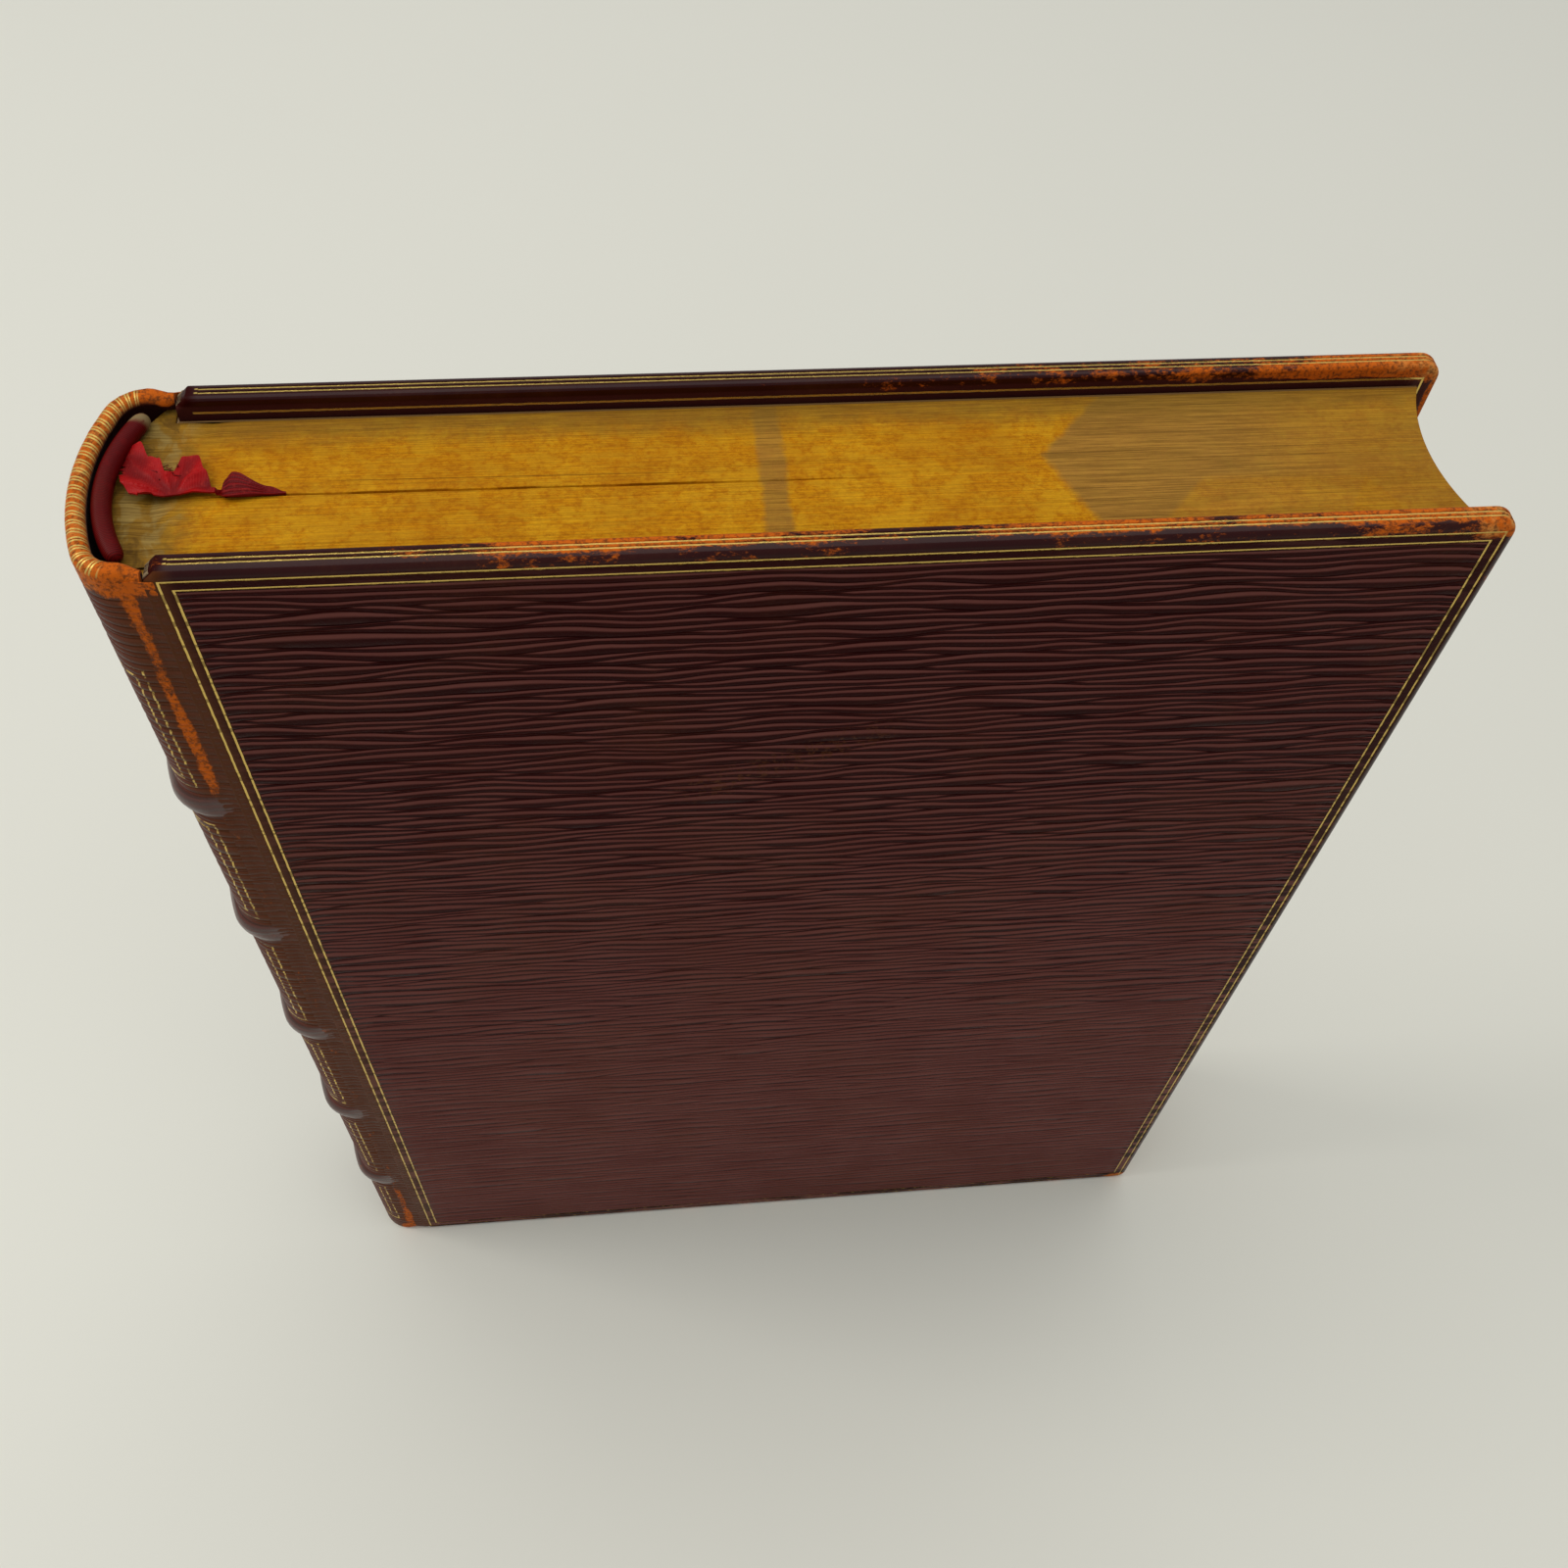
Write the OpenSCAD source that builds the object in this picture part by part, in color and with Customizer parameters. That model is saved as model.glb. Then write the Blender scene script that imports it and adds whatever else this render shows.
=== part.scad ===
// Antique book bound in full straight-grained leather, standing on its head edge.
// X runs from the spine to the fore-edge, Y from the rear cover to the front cover.

/* [Leaves] */
// Height of the leaves, from head to tail
leaf_h = 207.5; // [150:0.5:300]
// Width of the leaves, from the joint to the corners of the fore-edge
leaf_w = 157; // [100:1:240]
// Thickness of all the sewn sections together
leaves_t = 23.5; // [14:0.5:50]
// Number of sections sewn together
section_count = 20; // [8:1:36]
// Depth of the hollow in the fore-edge
fore_hollow = 2.5; // [0.5:0.1:4]
// How far the rounded back of the leaves swells past the joint
back_swell = 6.6; // [4:0.1:9]
// Depth of the shoulder's flat behind the joint
shoulder_flat = 1.2; // [0.8:0.1:2]
// Thickness of each free endleaf
endleaf_t = 0.3; // [0.1:0.05:0.6]

/* [Covers] */
// Thickness of the millboard
board_t = 2; // [1.5:0.1:5]
// How far the covers pass the leaves at the head
head_square = 3; // [2:0.1:6]
// How far the covers pass the leaves at the tail
tail_square = 3; // [2:0.1:6]
// How far the covers pass the leaves at the fore-edge
fore_square = 3; // [1:0.1:6]
// Radius of a cover's two corners at the fore-edge
corner_r = 2.5; // [2:0.1:5]
// Radius of a cover's outer edges
outer_edge_r = 1.2; // [0.5:0.1:1.6]
// Radius of a cover's inner edges
inner_edge_r = 0.6; // [0.3:0.1:0.9]
// Cut across a cover's corners at the joint
back_corner = 1.4; // [0.5:0.1:2.5]

/* [Leather] */
// Thickness of the leather on the spine and the covers
leather_t = 0.7; // [0.5:0.05:1]
// Thickness of the pared leather where it is turned in
turn_in_t = 0.5; // [0.3:0.05:0.8]
// Width of the turn-ins on the inside of the covers
turn_in_w = 15; // [8:0.5:25]
// Length of leather turned in at the head and tail of the spine
spine_turn_in = 12; // [6:0.5:20]
// Width of the slit where two turn-ins meet in a mitre
mitre_w = 0.2; // [0.1:0.05:0.4]
// Depth of the slit where two turn-ins meet in a mitre
mitre_depth = 0.3; // [0.1:0.05:0.4]

/* [Spine] */
// Radius of the spine's long edges
spine_edge_r = 5.5; // [4.5:0.1:6.5]
// Width of the flat joint between the spine's edge and the cover
joint_flat = 3; // [2:0.1:4]
// How far the joint lies below the covers' faces
joint_dip = 0.3; // [0.1:0.05:0.6]
// Radius of the crease pressed along each joint
crease_r = 0.6; // [0.3:0.05:1]
// Depth of the crease pressed along each joint
crease_depth = 0.3; // [0.1:0.05:0.4]
// Thickness of the lining glued to the back of the leaves
lining_t = 0.6; // [0.3:0.1:1]
// How far the lining stops short of the leaves at the head and tail
lining_margin = 2; // [1:0.5:6]
// Wall of the flattened paper tube under the leather
tube_wall = 0.4; // [0.3:0.05:0.6]
// Opening of the paper tube at the middle of the spine
hollow_gap = 1.5; // [0.8:0.1:3]
// Diameter of the cord inside each cap
cap_cord_d = 0.9; // [0.6:0.05:1.3]

/* [Raised bands] */
// Width of each raised band
band_w = 4.8; // [4.5:0.1:8]
// Height of each raised band above the panels
band_rise = 1.2; // [1:0.1:2.2]
// Radius of the leather worked in beside each band
band_foot_r = 0.8; // [0.3:0.1:1.2]
// Height of the middle of the lowest band above the head edge
head_panel = 30; // [22:0.5:60]
// Distance from the middle of the highest band to the tail edge
tail_panel = 46; // [22:0.5:80]

/* [Sewing] */
// Diameter of the cords that the sections are sewn on
cord_d = 2; // [1:0.1:3]
// Width of a cord's frayed slip under the leather of a cover
slip_w = 3; // [2:0.1:5]
// Thickness of a cord's frayed slip
slip_t = 0.7; // [0.4:0.05:1]
// Length of a cord's slip on the cover
slip_l = 13; // [8:0.5:20]
// Diameter of the hole that takes a slip through the board
lacing_d = 2; // [1.2:0.1:3]
// Diameter of the silk-wound bands at the head and tail
endband_d = 2.2; // [1.4:0.1:2.6]
// Length of the cloth tongue that holds each silk-wound band
endband_tongue = 8; // [4:0.5:12]
// Thickness of the cloth tongue
tongue_t = 0.3; // [0.2:0.05:0.5]

/* [Endpapers] */
// Thickness of the paper pasted down inside each cover
pastedown_t = 0.2; // [0.1:0.05:0.4]
// How far the pasted paper laps over the turn-ins
pastedown_lap = 3; // [1:0.5:6]

/* [Tooling] */
// Width of a gilt fillet line
fillet_w = 0.4; // [0.2:0.05:0.8]
// Depth that a gilt fillet line is pressed in
fillet_depth = 0.12; // [0.05:0.01:0.25]
// Distance of the outer frame line from a cover's edges
frame_outer = 1.4; // [1.2:0.1:3]
// Distance of the inner frame line from a cover's edges
frame_inner = 2.8; // [2:0.1:8]
// Distance of the single line inside the cover from its edges
inside_line = 2; // [1.2:0.1:5]
// Distance from a cover's face to the first line on its edge
edge_line_1 = 1.4; // [1.2:0.05:1.6]
// Distance from a cover's face to the second line on its edge
edge_line_2 = 2.1; // [2:0.05:2.4]
// Distance from the joint to the start of the edge lines
edge_line_start = 2.4; // [0:0.1:10]

/* [Ribbon] */
// Width of the silk ribbon marker
ribbon_w = 7; // [4:0.5:10]
// Thickness of the silk ribbon marker
ribbon_t = 0.25; // [0.2:0.05:0.4]
// Distance from the joint to where the ribbon leaves the leaves
ribbon_exit = 7; // [2:0.5:30]
// Height of the folds in the ribbon's loose end
ribbon_fold = 0.9; // [0.4:0.1:1.2]

/* [Clearances] */
// Space between the parts that open and the parts that stay
open_gap = 0.3; // [0.2:0.05:0.6]
// Space round a piece that is set into another
set_gap = 0.05; // [0.05:0.01:0.15]
// How much slimmer a bend is where it runs into the arc before it
tuck = 0.02; // [0.01:0.005:0.04]

/* [Hidden] */
$fn = 64;
BAND_COUNT = 5;

// A length kept to a thousandth of a millimetre
function neat(v) = round(v * 1000) / 1000;

// A cover and the whole book
board_h = leaf_h + head_square + tail_square;
board_w = leaf_w + fore_square;
block_t = leaves_t + 2 * endleaf_t;
body_t = leather_t + board_t + turn_in_t;
half_t = block_t / 2 + open_gap + pastedown_t + body_t;
leaf_top = head_square + leaf_h;

// The joint and the shoulders behind it
joint_y = half_t - joint_dip;
shoulder_y = joint_y - leather_t - set_gap;
crease_x = -joint_flat / 2;

// The rounded back of the leaves
back_rise = back_swell - shoulder_flat;
back_r = neat((pow(shoulder_y, 2) + pow(back_rise, 2)) / (2 * back_rise));
back_x = back_r - back_swell;
back_a = asin(shoulder_y / back_r);
layer_y = shoulder_y - shoulder_flat;

// The hollow of the fore-edge
fore_r = neat((pow(leaves_t / 2, 2) + pow(fore_hollow, 2)) / (2 * fore_hollow));

// The outline of the spine: one long arc between two edge arcs
spine_reach = back_swell + lining_t + 2 * tube_wall + hollow_gap + leather_t;
round_depth = spine_reach - joint_flat;
edge_r = neat(min(spine_edge_r, 0.85 * round_depth));
edge_y = joint_y - edge_r;
round_r = neat((pow(round_depth, 2) + pow(edge_y, 2) - pow(edge_r, 2))
    / (2 * (round_depth - edge_r)));
round_x = round_r - spine_reach;
mid_x = (board_w - spine_reach - band_rise) / 2;

// The bands, with equal spaces between them
band_step = (board_h - head_panel - tail_panel) / (BAND_COUNT - 1);
function band_z(i) = head_panel + i * band_step;
cap_r = leather_t + cap_cord_d / 2;
// How far, in degrees, a bend at the spine's edge runs into the long arc
lap_a = 2;

// The ribbon's loose end: where it lies, how wide it is spread and how much it is lifted
ribbon_foot = -back_swell + 1;
ribbon_end = -back_swell + 1.6;
loose_l = ribbon_exit + ribbon_w - ribbon_end;
// Each row gives the distance from the exit as a share, the two sides in mm, the lift as a share
LOOSE = [[0, -0.35, 0.2, 0], [0.12, -1, 1, 0.4], [0.35, -2, 2.4, 0.9], [0.39, -0.8, 0.8, 0.3],
    [0.44, -0.8, 0.7, 0.2], [0.55, -0.4, 3.4, 0.7], [0.66, -1, 5.6, 1], [0.76, -1.8, 3, 0.5],
    [0.88, -1.9, 6.4, 1], [1, 0.4, 4, 0.6]];
loose_y = 0.3;
loose_steps = 36;
loose_across = 10;

// Puts what is drawn from the joint line where the whole book has its middle
module place() {
    translate([-mid_x, 0, 0]) children();
}

// Puts what is drawn flat, outer face up, where the rear or the front cover stands
module cover(front) {
    place() mirror([0, front ? 1 : 0, 0]) rotate([90, 0, 0])
        translate([0, 0, half_t - body_t]) children();
}

// The leaves seen from the tail
module block_outline() {
    difference() {
        union() {
            translate([-open_gap, -leaves_t / 2]) square([leaf_w + open_gap, leaves_t]);
            intersection() {
                translate([back_x, 0]) circle(r = back_r);
                translate([-back_swell - 1, -shoulder_y])
                    square([back_swell + 1 - open_gap, 2 * shoulder_y]);
            }
        }
        translate([leaf_w - fore_hollow + fore_r, 0]) circle(r = fore_r, $fn = 180);
        section_notches();
    }
}

// The notches between the folds of the sections, along the rounded back
module section_notches() {
    notch_w = 0.35 * leaves_t / section_count;
    for (i = [1 : section_count - 1])
        translate([back_x, 0]) rotate(180 + 0.92 * back_a * (2 * i / section_count - 1))
            translate([back_r, 0]) rotate(45) square(notch_w, center = true);
}

// A layer round the back, between two distances from the leaves
module back_layer(inner, outer, reach) {
    intersection() {
        difference() {
            translate([back_x, 0]) circle(r = back_r + outer);
            translate([back_x, 0]) circle(r = back_r + inner);
        }
        translate([-back_swell - outer - 1, -reach]) square([back_swell + outer + 1, 2 * reach]);
    }
}

// Carries a section round the back of the leaves, its x measured out from them
module round_back(reach) {
    a = asin(reach / back_r);
    translate([back_x, 0, 0]) rotate([0, 0, 180 - a]) rotate_extrude(angle = 2 * a, $fn = 96)
        translate([back_r, 0]) children();
}

// The outline of the spine seen from the tail, set off from the face of the leather
module spine_outline(off) {
    a = atan2(edge_y, round_x - edge_x(0));
    intersection() {
        union() {
            intersection() {
                translate([round_x, 0]) circle(r = round_r + off, $fn = 180);
                translate([-board_w, -(round_r + off) * sin(a)])
                    square([2 * board_w, 2 * (round_r + off) * sin(a)]);
            }
            for (s = [-1, 1])
                translate([edge_x(0), s * edge_y]) circle(r = edge_r + off);
            translate([edge_x(0), -joint_y - off]) square([board_w, 2 * (joint_y + off)]);
        }
        translate([-board_w, -board_w]) square([board_w - open_gap, 2 * board_w]);
    }
}

// The middle of the spine's edge arc, for a surface that stands `rise` above the panels
function edge_x(rise) = neat(round_x - sqrt(pow(round_r + rise - edge_r, 2) - pow(edge_y, 2)));

// Carries a section round the spine, its x measured out from such a surface. The bends at the
// edges start a little before the long arc ends, and are slimmer by $slim to lie inside it
module round_spine(rise) {
    x = edge_x(rise);
    a = atan2(edge_y, round_x - x);
    translate([round_x, 0, 0]) rotate_extrude(angle = 2 * a, start = 180 - a, $fn = 180)
        translate([round_r + rise, 0]) {
            $slim = 0;
            children();
        }
    for (s = [-1, 1])
        translate([x, s * edge_y, 0])
            rotate_extrude(angle = 90 - a + lap_a, start = s > 0 ? 90 : 180 + a - lap_a, $fn = 96)
                translate([edge_r, 0]) {
                    $slim = tuck;
                    children();
                }
}

// Carries the same section along the flats of both joints, to `short` of the covers
module along_joints(short) {
    l = tuck - edge_x(0) - short;
    for (s = [-1, 1])
        translate([s < 0 ? -short : edge_x(0) - tuck, s * joint_y, 0])
            rotate([90, 0, s * 90]) linear_extrude(l) {
                $slim = 2 * tuck;
                children();
            }
}

// A raised band's round section, its crown at zero
module band_crown(narrower) {
    w = band_w - narrower - 2 * $slim;
    rise = band_rise - $slim;
    r = (pow(w / 2, 2) + pow(rise, 2)) / (2 * rise);
    deep = rise + leather_t / 2;
    translate([-$slim, 0]) intersection() {
        translate([-r, 0]) circle(r = r);
        translate([-deep, -w / 2]) square([deep, w]);
    }
}

// The leather worked in along both sides of a band
module band_foot() {
    w = band_w - 2 * $slim;
    rise = band_rise - $slim;
    r = (pow(w / 2, 2) + pow(rise, 2)) / (2 * rise);
    low = band_foot_r - rise - tuck;
    foot_y = sqrt(pow(r + band_foot_r, 2) - pow(r + low, 2));
    deep = rise + leather_t / 2;
    translate([-$slim, 0]) difference() {
        polygon([[-deep, -foot_y], [low, -foot_y], [-rise / 2, 0], [low, foot_y],
            [-deep, foot_y]]);
        for (s = [-1, 1])
            translate([low, s * foot_y]) circle(r = band_foot_r);
    }
}

// The roll of leather at a cap, or the cord inside it
module cap_roll(r) {
    translate([-cap_r - 2 * tuck, -cap_r]) circle(r = r - $slim);
}

// Puts what is drawn for the tail, from its edge down, at the tail or at the head
module at_end(tail) {
    translate([0, 0, tail ? board_h : 0]) mirror([0, 0, tail ? 0 : 1]) children();
}

module spine_leather() {
    color([0.33, 0.09, 0.08]) place() difference() {
        union() {
            translate([0, 0, cap_r]) linear_extrude(board_h - 2 * cap_r) difference() {
                spine_outline(0);
                spine_outline(-leather_t - turn_in_t);
            }
            for (i = [0 : BAND_COUNT - 1])
                translate([0, 0, band_z(i)]) round_spine(band_rise) {
                    band_crown(0);
                    band_foot();
                }
            for (tail = [false, true])
                at_end(tail) {
                    round_spine(0) cap_roll(cap_r);
                    along_joints(back_corner) cap_roll(cap_r);
                }
        }
        translate([0, 0, spine_turn_in]) linear_extrude(board_h - 2 * spine_turn_in)
            spine_outline(-leather_t);
        shoulder_room();
        for (i = [0 : BAND_COUNT - 1])
            translate([0, 0, band_z(i)]) round_spine(band_rise) translate([-leather_t, 0])
                band_crown(leather_t);
        for (tail = [false, true])
            at_end(tail) cap_cord_way(set_gap);
        for (s = [-1, 1])
            translate([crease_x, s * (joint_y + crease_r - crease_depth), 0])
                cylinder(r = crease_r, h = board_h);
    }
}

// The room that the turned-in leather leaves for the rounded back and its shoulders
module shoulder_room() {
    translate([0, 0, head_square - set_gap]) linear_extrude(leaf_h + 2 * set_gap)
        intersection() {
            translate([back_x, 0]) circle(r = back_r + set_gap);
            translate([-back_swell - 1, set_gap / 2 - joint_y + leather_t])
                square([back_swell + 1, 2 * (joint_y - leather_t) - set_gap]);
        }
}

// The way of the cord inside a cap, with space round it
module cap_cord_way(gap) {
    round_spine(0) cap_roll(cap_cord_d / 2 + gap);
    along_joints(back_corner) cap_roll(cap_cord_d / 2 + gap);
}

module cap_cord(tail) {
    color([0.75, 0.68, 0.52]) place() at_end(tail) cap_cord_way(0);
}

// A strip of leather that lifts the spine's leather into a band and thins out at the joints
module raised_band(i) {
    color([0.5, 0.4, 0.28]) place() difference() {
        translate([0, 0, band_z(i)]) round_spine(band_rise) translate([-leather_t - set_gap, 0])
            band_crown(leather_t + 2 * set_gap);
        linear_extrude(board_h) spine_outline(-leather_t);
    }
}

// The flattened paper tube that lets the leather stand off the back when the book opens
module spine_tube() {
    z = spine_turn_in + 1;
    color([0.72, 0.62, 0.45]) place() translate([0, 0, z]) linear_extrude(board_h - 2 * z)
        difference() {
            tube_outline(leather_t, 0, lining_t);
            tube_outline(leather_t + tube_wall, tube_wall, lining_t + tube_wall);
        }
}

// What lies between the spine's leather and the back, at a depth, a side margin and a distance
module tube_outline(depth, margin, distance) {
    difference() {
        intersection() {
            spine_outline(-depth);
            translate([-board_w, margin - layer_y])
                square([board_w - shoulder_flat, 2 * (layer_y - margin)]);
        }
        translate([back_x, 0]) circle(r = back_r + distance);
    }
}

module spine_lining() {
    z = head_square + lining_margin;
    color([0.8, 0.74, 0.6]) place() translate([0, 0, z])
        linear_extrude(leaf_h - 2 * lining_margin) back_layer(set_gap, lining_t, layer_y);
}

// A band at the head or tail: a core wound with silk, on a cloth tongue glued to the lining
module end_band(tail) {
    square_h = tail ? tail_square : head_square;
    core_z = -square_h + endband_d / 2 + set_gap;
    color([0.42, 0.06, 0.07]) place() at_end(tail) {
        round_back(leaves_t / 2) translate([0, core_z]) circle(d = endband_d);
        translate([0, 0, -square_h - endband_tongue])
            linear_extrude(endband_tongue + endband_d / 2)
                back_layer(lining_t, lining_t + tongue_t, leaves_t / 2 - 1);
    }
}

module sewing_cord(i) {
    a = 0.97 * back_a;
    color([0.78, 0.7, 0.52]) place() translate([back_x, 0, band_z(i)]) rotate([0, 0, 180 - a])
        rotate_extrude(angle = 2 * a, $fn = 96) translate([back_r - cord_d / 2, 0])
            circle(d = cord_d);
}

// The kerf sawn across the back for a sewing cord
module cord_kerf(i) {
    w = cord_d + 2 * set_gap;
    translate([back_x, 0, band_z(i)]) rotate([0, 0, 120]) rotate_extrude(angle = 120, $fn = 96)
        translate([back_r - cord_d / 2, 0]) {
            circle(d = w);
            translate([0, -w / 2]) square([cord_d, w]);
        }
}

// The slanting way of the ribbon between two leaves, seen from the rear cover
module ribbon_way(side_gap, below, above) {
    run = (ribbon_exit - ribbon_foot) / leaf_h;
    polygon([[ribbon_foot - side_gap - run * below, head_square - below],
        [ribbon_foot + ribbon_w + side_gap - run * below, head_square - below],
        [ribbon_exit + ribbon_w + side_gap + run * above, leaf_top + above],
        [ribbon_exit - side_gap + run * above, leaf_top + above]]);
}

module text_block() {
    slot_t = ribbon_t + 2 * set_gap;
    color([0.8, 0.62, 0.2]) place() difference() {
        translate([0, 0, head_square]) linear_extrude(leaf_h) block_outline();
        for (i = [0 : BAND_COUNT - 1])
            cord_kerf(i);
        translate([0, slot_t / 2, 0]) rotate([90, 0, 0]) linear_extrude(slot_t)
            ribbon_way(set_gap, 1, 1);
    }
}

module free_endleaf(front) {
    color([0.86, 0.8, 0.66]) place() mirror([0, front ? 1 : 0, 0])
        translate([0, -block_t / 2, head_square]) cube([leaf_w, endleaf_t, leaf_h]);
}

// Values between the rows of LOOSE, with a soft bend at each row
function row_at(u, i = 0) = i + 2 < len(LOOSE) && u > LOOSE[i + 1][0] ? row_at(u, i + 1) : i;
function soft(t) = t * t * (3 - 2 * t);
function loose_at(u, k) =
    let (i = row_at(u), a = LOOSE[i], b = LOOSE[i + 1])
    a[k] + (b[k] - a[k]) * soft(min(1, max(0, (u - a[0]) / (b[0] - a[0]))));

// A point of the loose end, along it by u and across it by v
function loose_point(u, v, layer) = [
    ribbon_exit + ribbon_w - u * loose_l,
    loose_y + loose_at(u, 1) + v * (loose_at(u, 2) - loose_at(u, 1)),
    leaf_top + 2 * set_gap + layer * ribbon_t + ribbon_fold * loose_at(u, 3)
        * (0.9 - 0.55 * cos(360 * v) + 0.4 * sin(720 * u + 200 * v))];

// The loose end, frayed and crumpled, as one thin sheet
module loose_end() {
    n = loose_across + 1;
    rows = loose_steps + 1;
    points = [for (layer = [0, 1], i = [0 : loose_steps], j = [0 : loose_across])
        loose_point(i / loose_steps, j / loose_across, layer)];
    top = rows * n;
    sheet = [for (i = [0 : loose_steps - 1], j = [0 : loose_across - 1])
        let (a = i * n + j) each [
            [a, a + n + 1, a + n], [a, a + 1, a + n + 1],
            [top + a, top + a + n, top + a + n + 1], [top + a, top + a + n + 1, top + a + 1]]];
    ends = [for (j = [0 : loose_across - 1], i = [0, loose_steps])
        let (a = i * n + j, f = i == 0)
        each [f ? [a, top + a + 1, a + 1] : [a, a + 1, top + a + 1],
            f ? [a, top + a, top + a + 1] : [a, top + a + 1, top + a]]];
    sides = [for (i = [0 : loose_steps - 1], j = [0, loose_across])
        let (a = i * n + j, f = j == 0)
        each [f ? [a, top + a + n, top + a] : [a, top + a, top + a + n],
            f ? [a, a + n, top + a + n] : [a, top + a + n, a + n]]];
    polyhedron(points, concat(sheet, ends, sides));
}

module ribbon_marker() {
    color([0.72, 0.05, 0.08]) place() {
        translate([0, ribbon_t / 2, 0]) rotate([90, 0, 0]) linear_extrude(ribbon_t)
            ribbon_way(0, 0, ribbon_t + 4 * set_gap);
        loose_end();
    }
}

// A cover's outline, its joint side on the left, inset on the three other sides
module cover_outline(inset) {
    r = corner_r - inset;
    difference() {
        union() {
            translate([0, inset]) square([board_w - corner_r, board_h - 2 * inset]);
            translate([0, corner_r]) square([board_w - inset, board_h - 2 * corner_r]);
            for (y = [corner_r, board_h - corner_r])
                translate([board_w - corner_r, y]) circle(r = r);
        }
        for (y = [0, board_h])
            translate([0, y]) rotate(45) square(back_corner * sqrt(2), center = true);
    }
}

// The section of a cover's rounded edge, with the edge at zero and the board on its left
module edge_section() {
    translate([-corner_r, 0]) square([corner_r - inner_edge_r, body_t - outer_edge_r]);
    translate([-corner_r, inner_edge_r])
        square([corner_r - outer_edge_r, body_t - inner_edge_r]);
    translate([-corner_r, inner_edge_r])
        square([corner_r, body_t - outer_edge_r - inner_edge_r]);
    translate([-outer_edge_r, body_t - outer_edge_r]) circle(r = outer_edge_r);
    translate([-inner_edge_r, inner_edge_r]) circle(r = inner_edge_r);
}

// The whole of a cover, with its edges rounded on the three open sides
module cover_body() {
    w = board_w - corner_r;
    h = board_h - 2 * corner_r;
    difference() {
        union() {
            translate([0, corner_r, 0]) cube([w, h, body_t]);
            translate([board_w, board_h - corner_r, 0]) rotate([90, 0, 0])
                linear_extrude(h) edge_section();
            translate([w, 0, 0]) rotate([90, 0, -90]) linear_extrude(w) edge_section();
            translate([0, board_h, 0]) rotate([90, 0, 90]) linear_extrude(w) edge_section();
            translate([w, board_h - corner_r, 0]) rotate_extrude(angle = 90)
                translate([corner_r, 0]) edge_section();
            translate([w, corner_r, 0]) rotate([0, 0, -90]) rotate_extrude(angle = 90)
                translate([corner_r, 0]) edge_section();
        }
        for (y = [0, board_h])
            translate([0, y, body_t / 2]) rotate([0, 0, 45])
                cube([back_corner * sqrt(2), back_corner * sqrt(2), 2 * body_t], center = true);
    }
}

// The board: a plate with a raised field that the turn-ins surround
module board_solid() {
    translate([0, 0, turn_in_t]) linear_extrude(board_t) cover_outline(leather_t);
    translate([0, turn_in_w, 0])
        cube([board_w - turn_in_w, board_h - 2 * turn_in_w, turn_in_t + board_t / 2]);
}

// One line of a frame on a face, at a distance from the cover's edges
module frame_line(distance) {
    difference() {
        translate([distance, distance])
            square([board_w - 2 * distance, board_h - 2 * distance]);
        translate([distance + fillet_w, distance + fillet_w])
            square([board_w - 2 * (distance + fillet_w), board_h - 2 * (distance + fillet_w)]);
    }
}

// A line round a cover's edge, at a distance from its face
module edge_line(distance) {
    translate([0, 0, body_t - distance - fillet_w / 2]) linear_extrude(fillet_w)
        difference() {
            translate([edge_line_start, -1]) square([board_w, board_h + 2]);
            cover_outline(fillet_depth);
        }
}

// The slits where the turn-ins meet at the two corners
module mitres() {
    l = (turn_in_w - corner_r) * sqrt(2);
    for (s = [0, 1])
        translate([board_w - turn_in_w, s ? board_h - turn_in_w : turn_in_w, 0])
            rotate([0, 0, s ? 45 : -45]) translate([-mitre_w, -mitre_w / 2, -1])
                cube([mitre_w + l, mitre_w, 1 + mitre_depth]);
}

module cover_leather(front) {
    color([0.33, 0.09, 0.08]) cover(front) difference() {
        cover_body();
        board_solid();
        for (d = [frame_outer, frame_inner])
            translate([0, 0, body_t - fillet_depth]) linear_extrude(1) frame_line(d);
        translate([0, 0, fillet_depth - 1]) linear_extrude(1) difference() {
            frame_line(inside_line);
            translate([-1, -1]) square([inside_line + fillet_w + 1, board_h + 2]);
        }
        for (d = [edge_line_1, edge_line_2])
            edge_line(d);
        mitres();
    }
}

// A sewing cord's slip: frayed flat on the outside of the board, then through it
module slip(gap) {
    top = turn_in_t + board_t;
    w = slip_w + 2 * gap;
    translate([0, 0, top - slip_t - gap]) linear_extrude(slip_t + gap) {
        translate([0, -w / 2]) square([slip_l - slip_w / 2, w]);
        translate([slip_l - slip_w / 2, 0]) circle(d = w);
    }
    translate([slip_l - slip_w / 2, 0, 0]) cylinder(d = lacing_d + 2 * gap, h = top - slip_t / 2);
}

module board(front) {
    color([0.6, 0.5, 0.36]) cover(front) difference() {
        board_solid();
        for (i = [0 : BAND_COUNT - 1])
            translate([0, band_z(i), 0]) slip(set_gap);
    }
}

module cord_slips(front) {
    color([0.78, 0.7, 0.52]) cover(front)
        for (i = [0 : BAND_COUNT - 1])
            translate([0, band_z(i), 0]) slip(0);
}

module pastedown(front) {
    edge = turn_in_w - pastedown_lap;
    color([0.86, 0.8, 0.66]) cover(front) translate([0, edge, -pastedown_t])
        cube([board_w - edge, board_h - 2 * edge, pastedown_t]);
}

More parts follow.
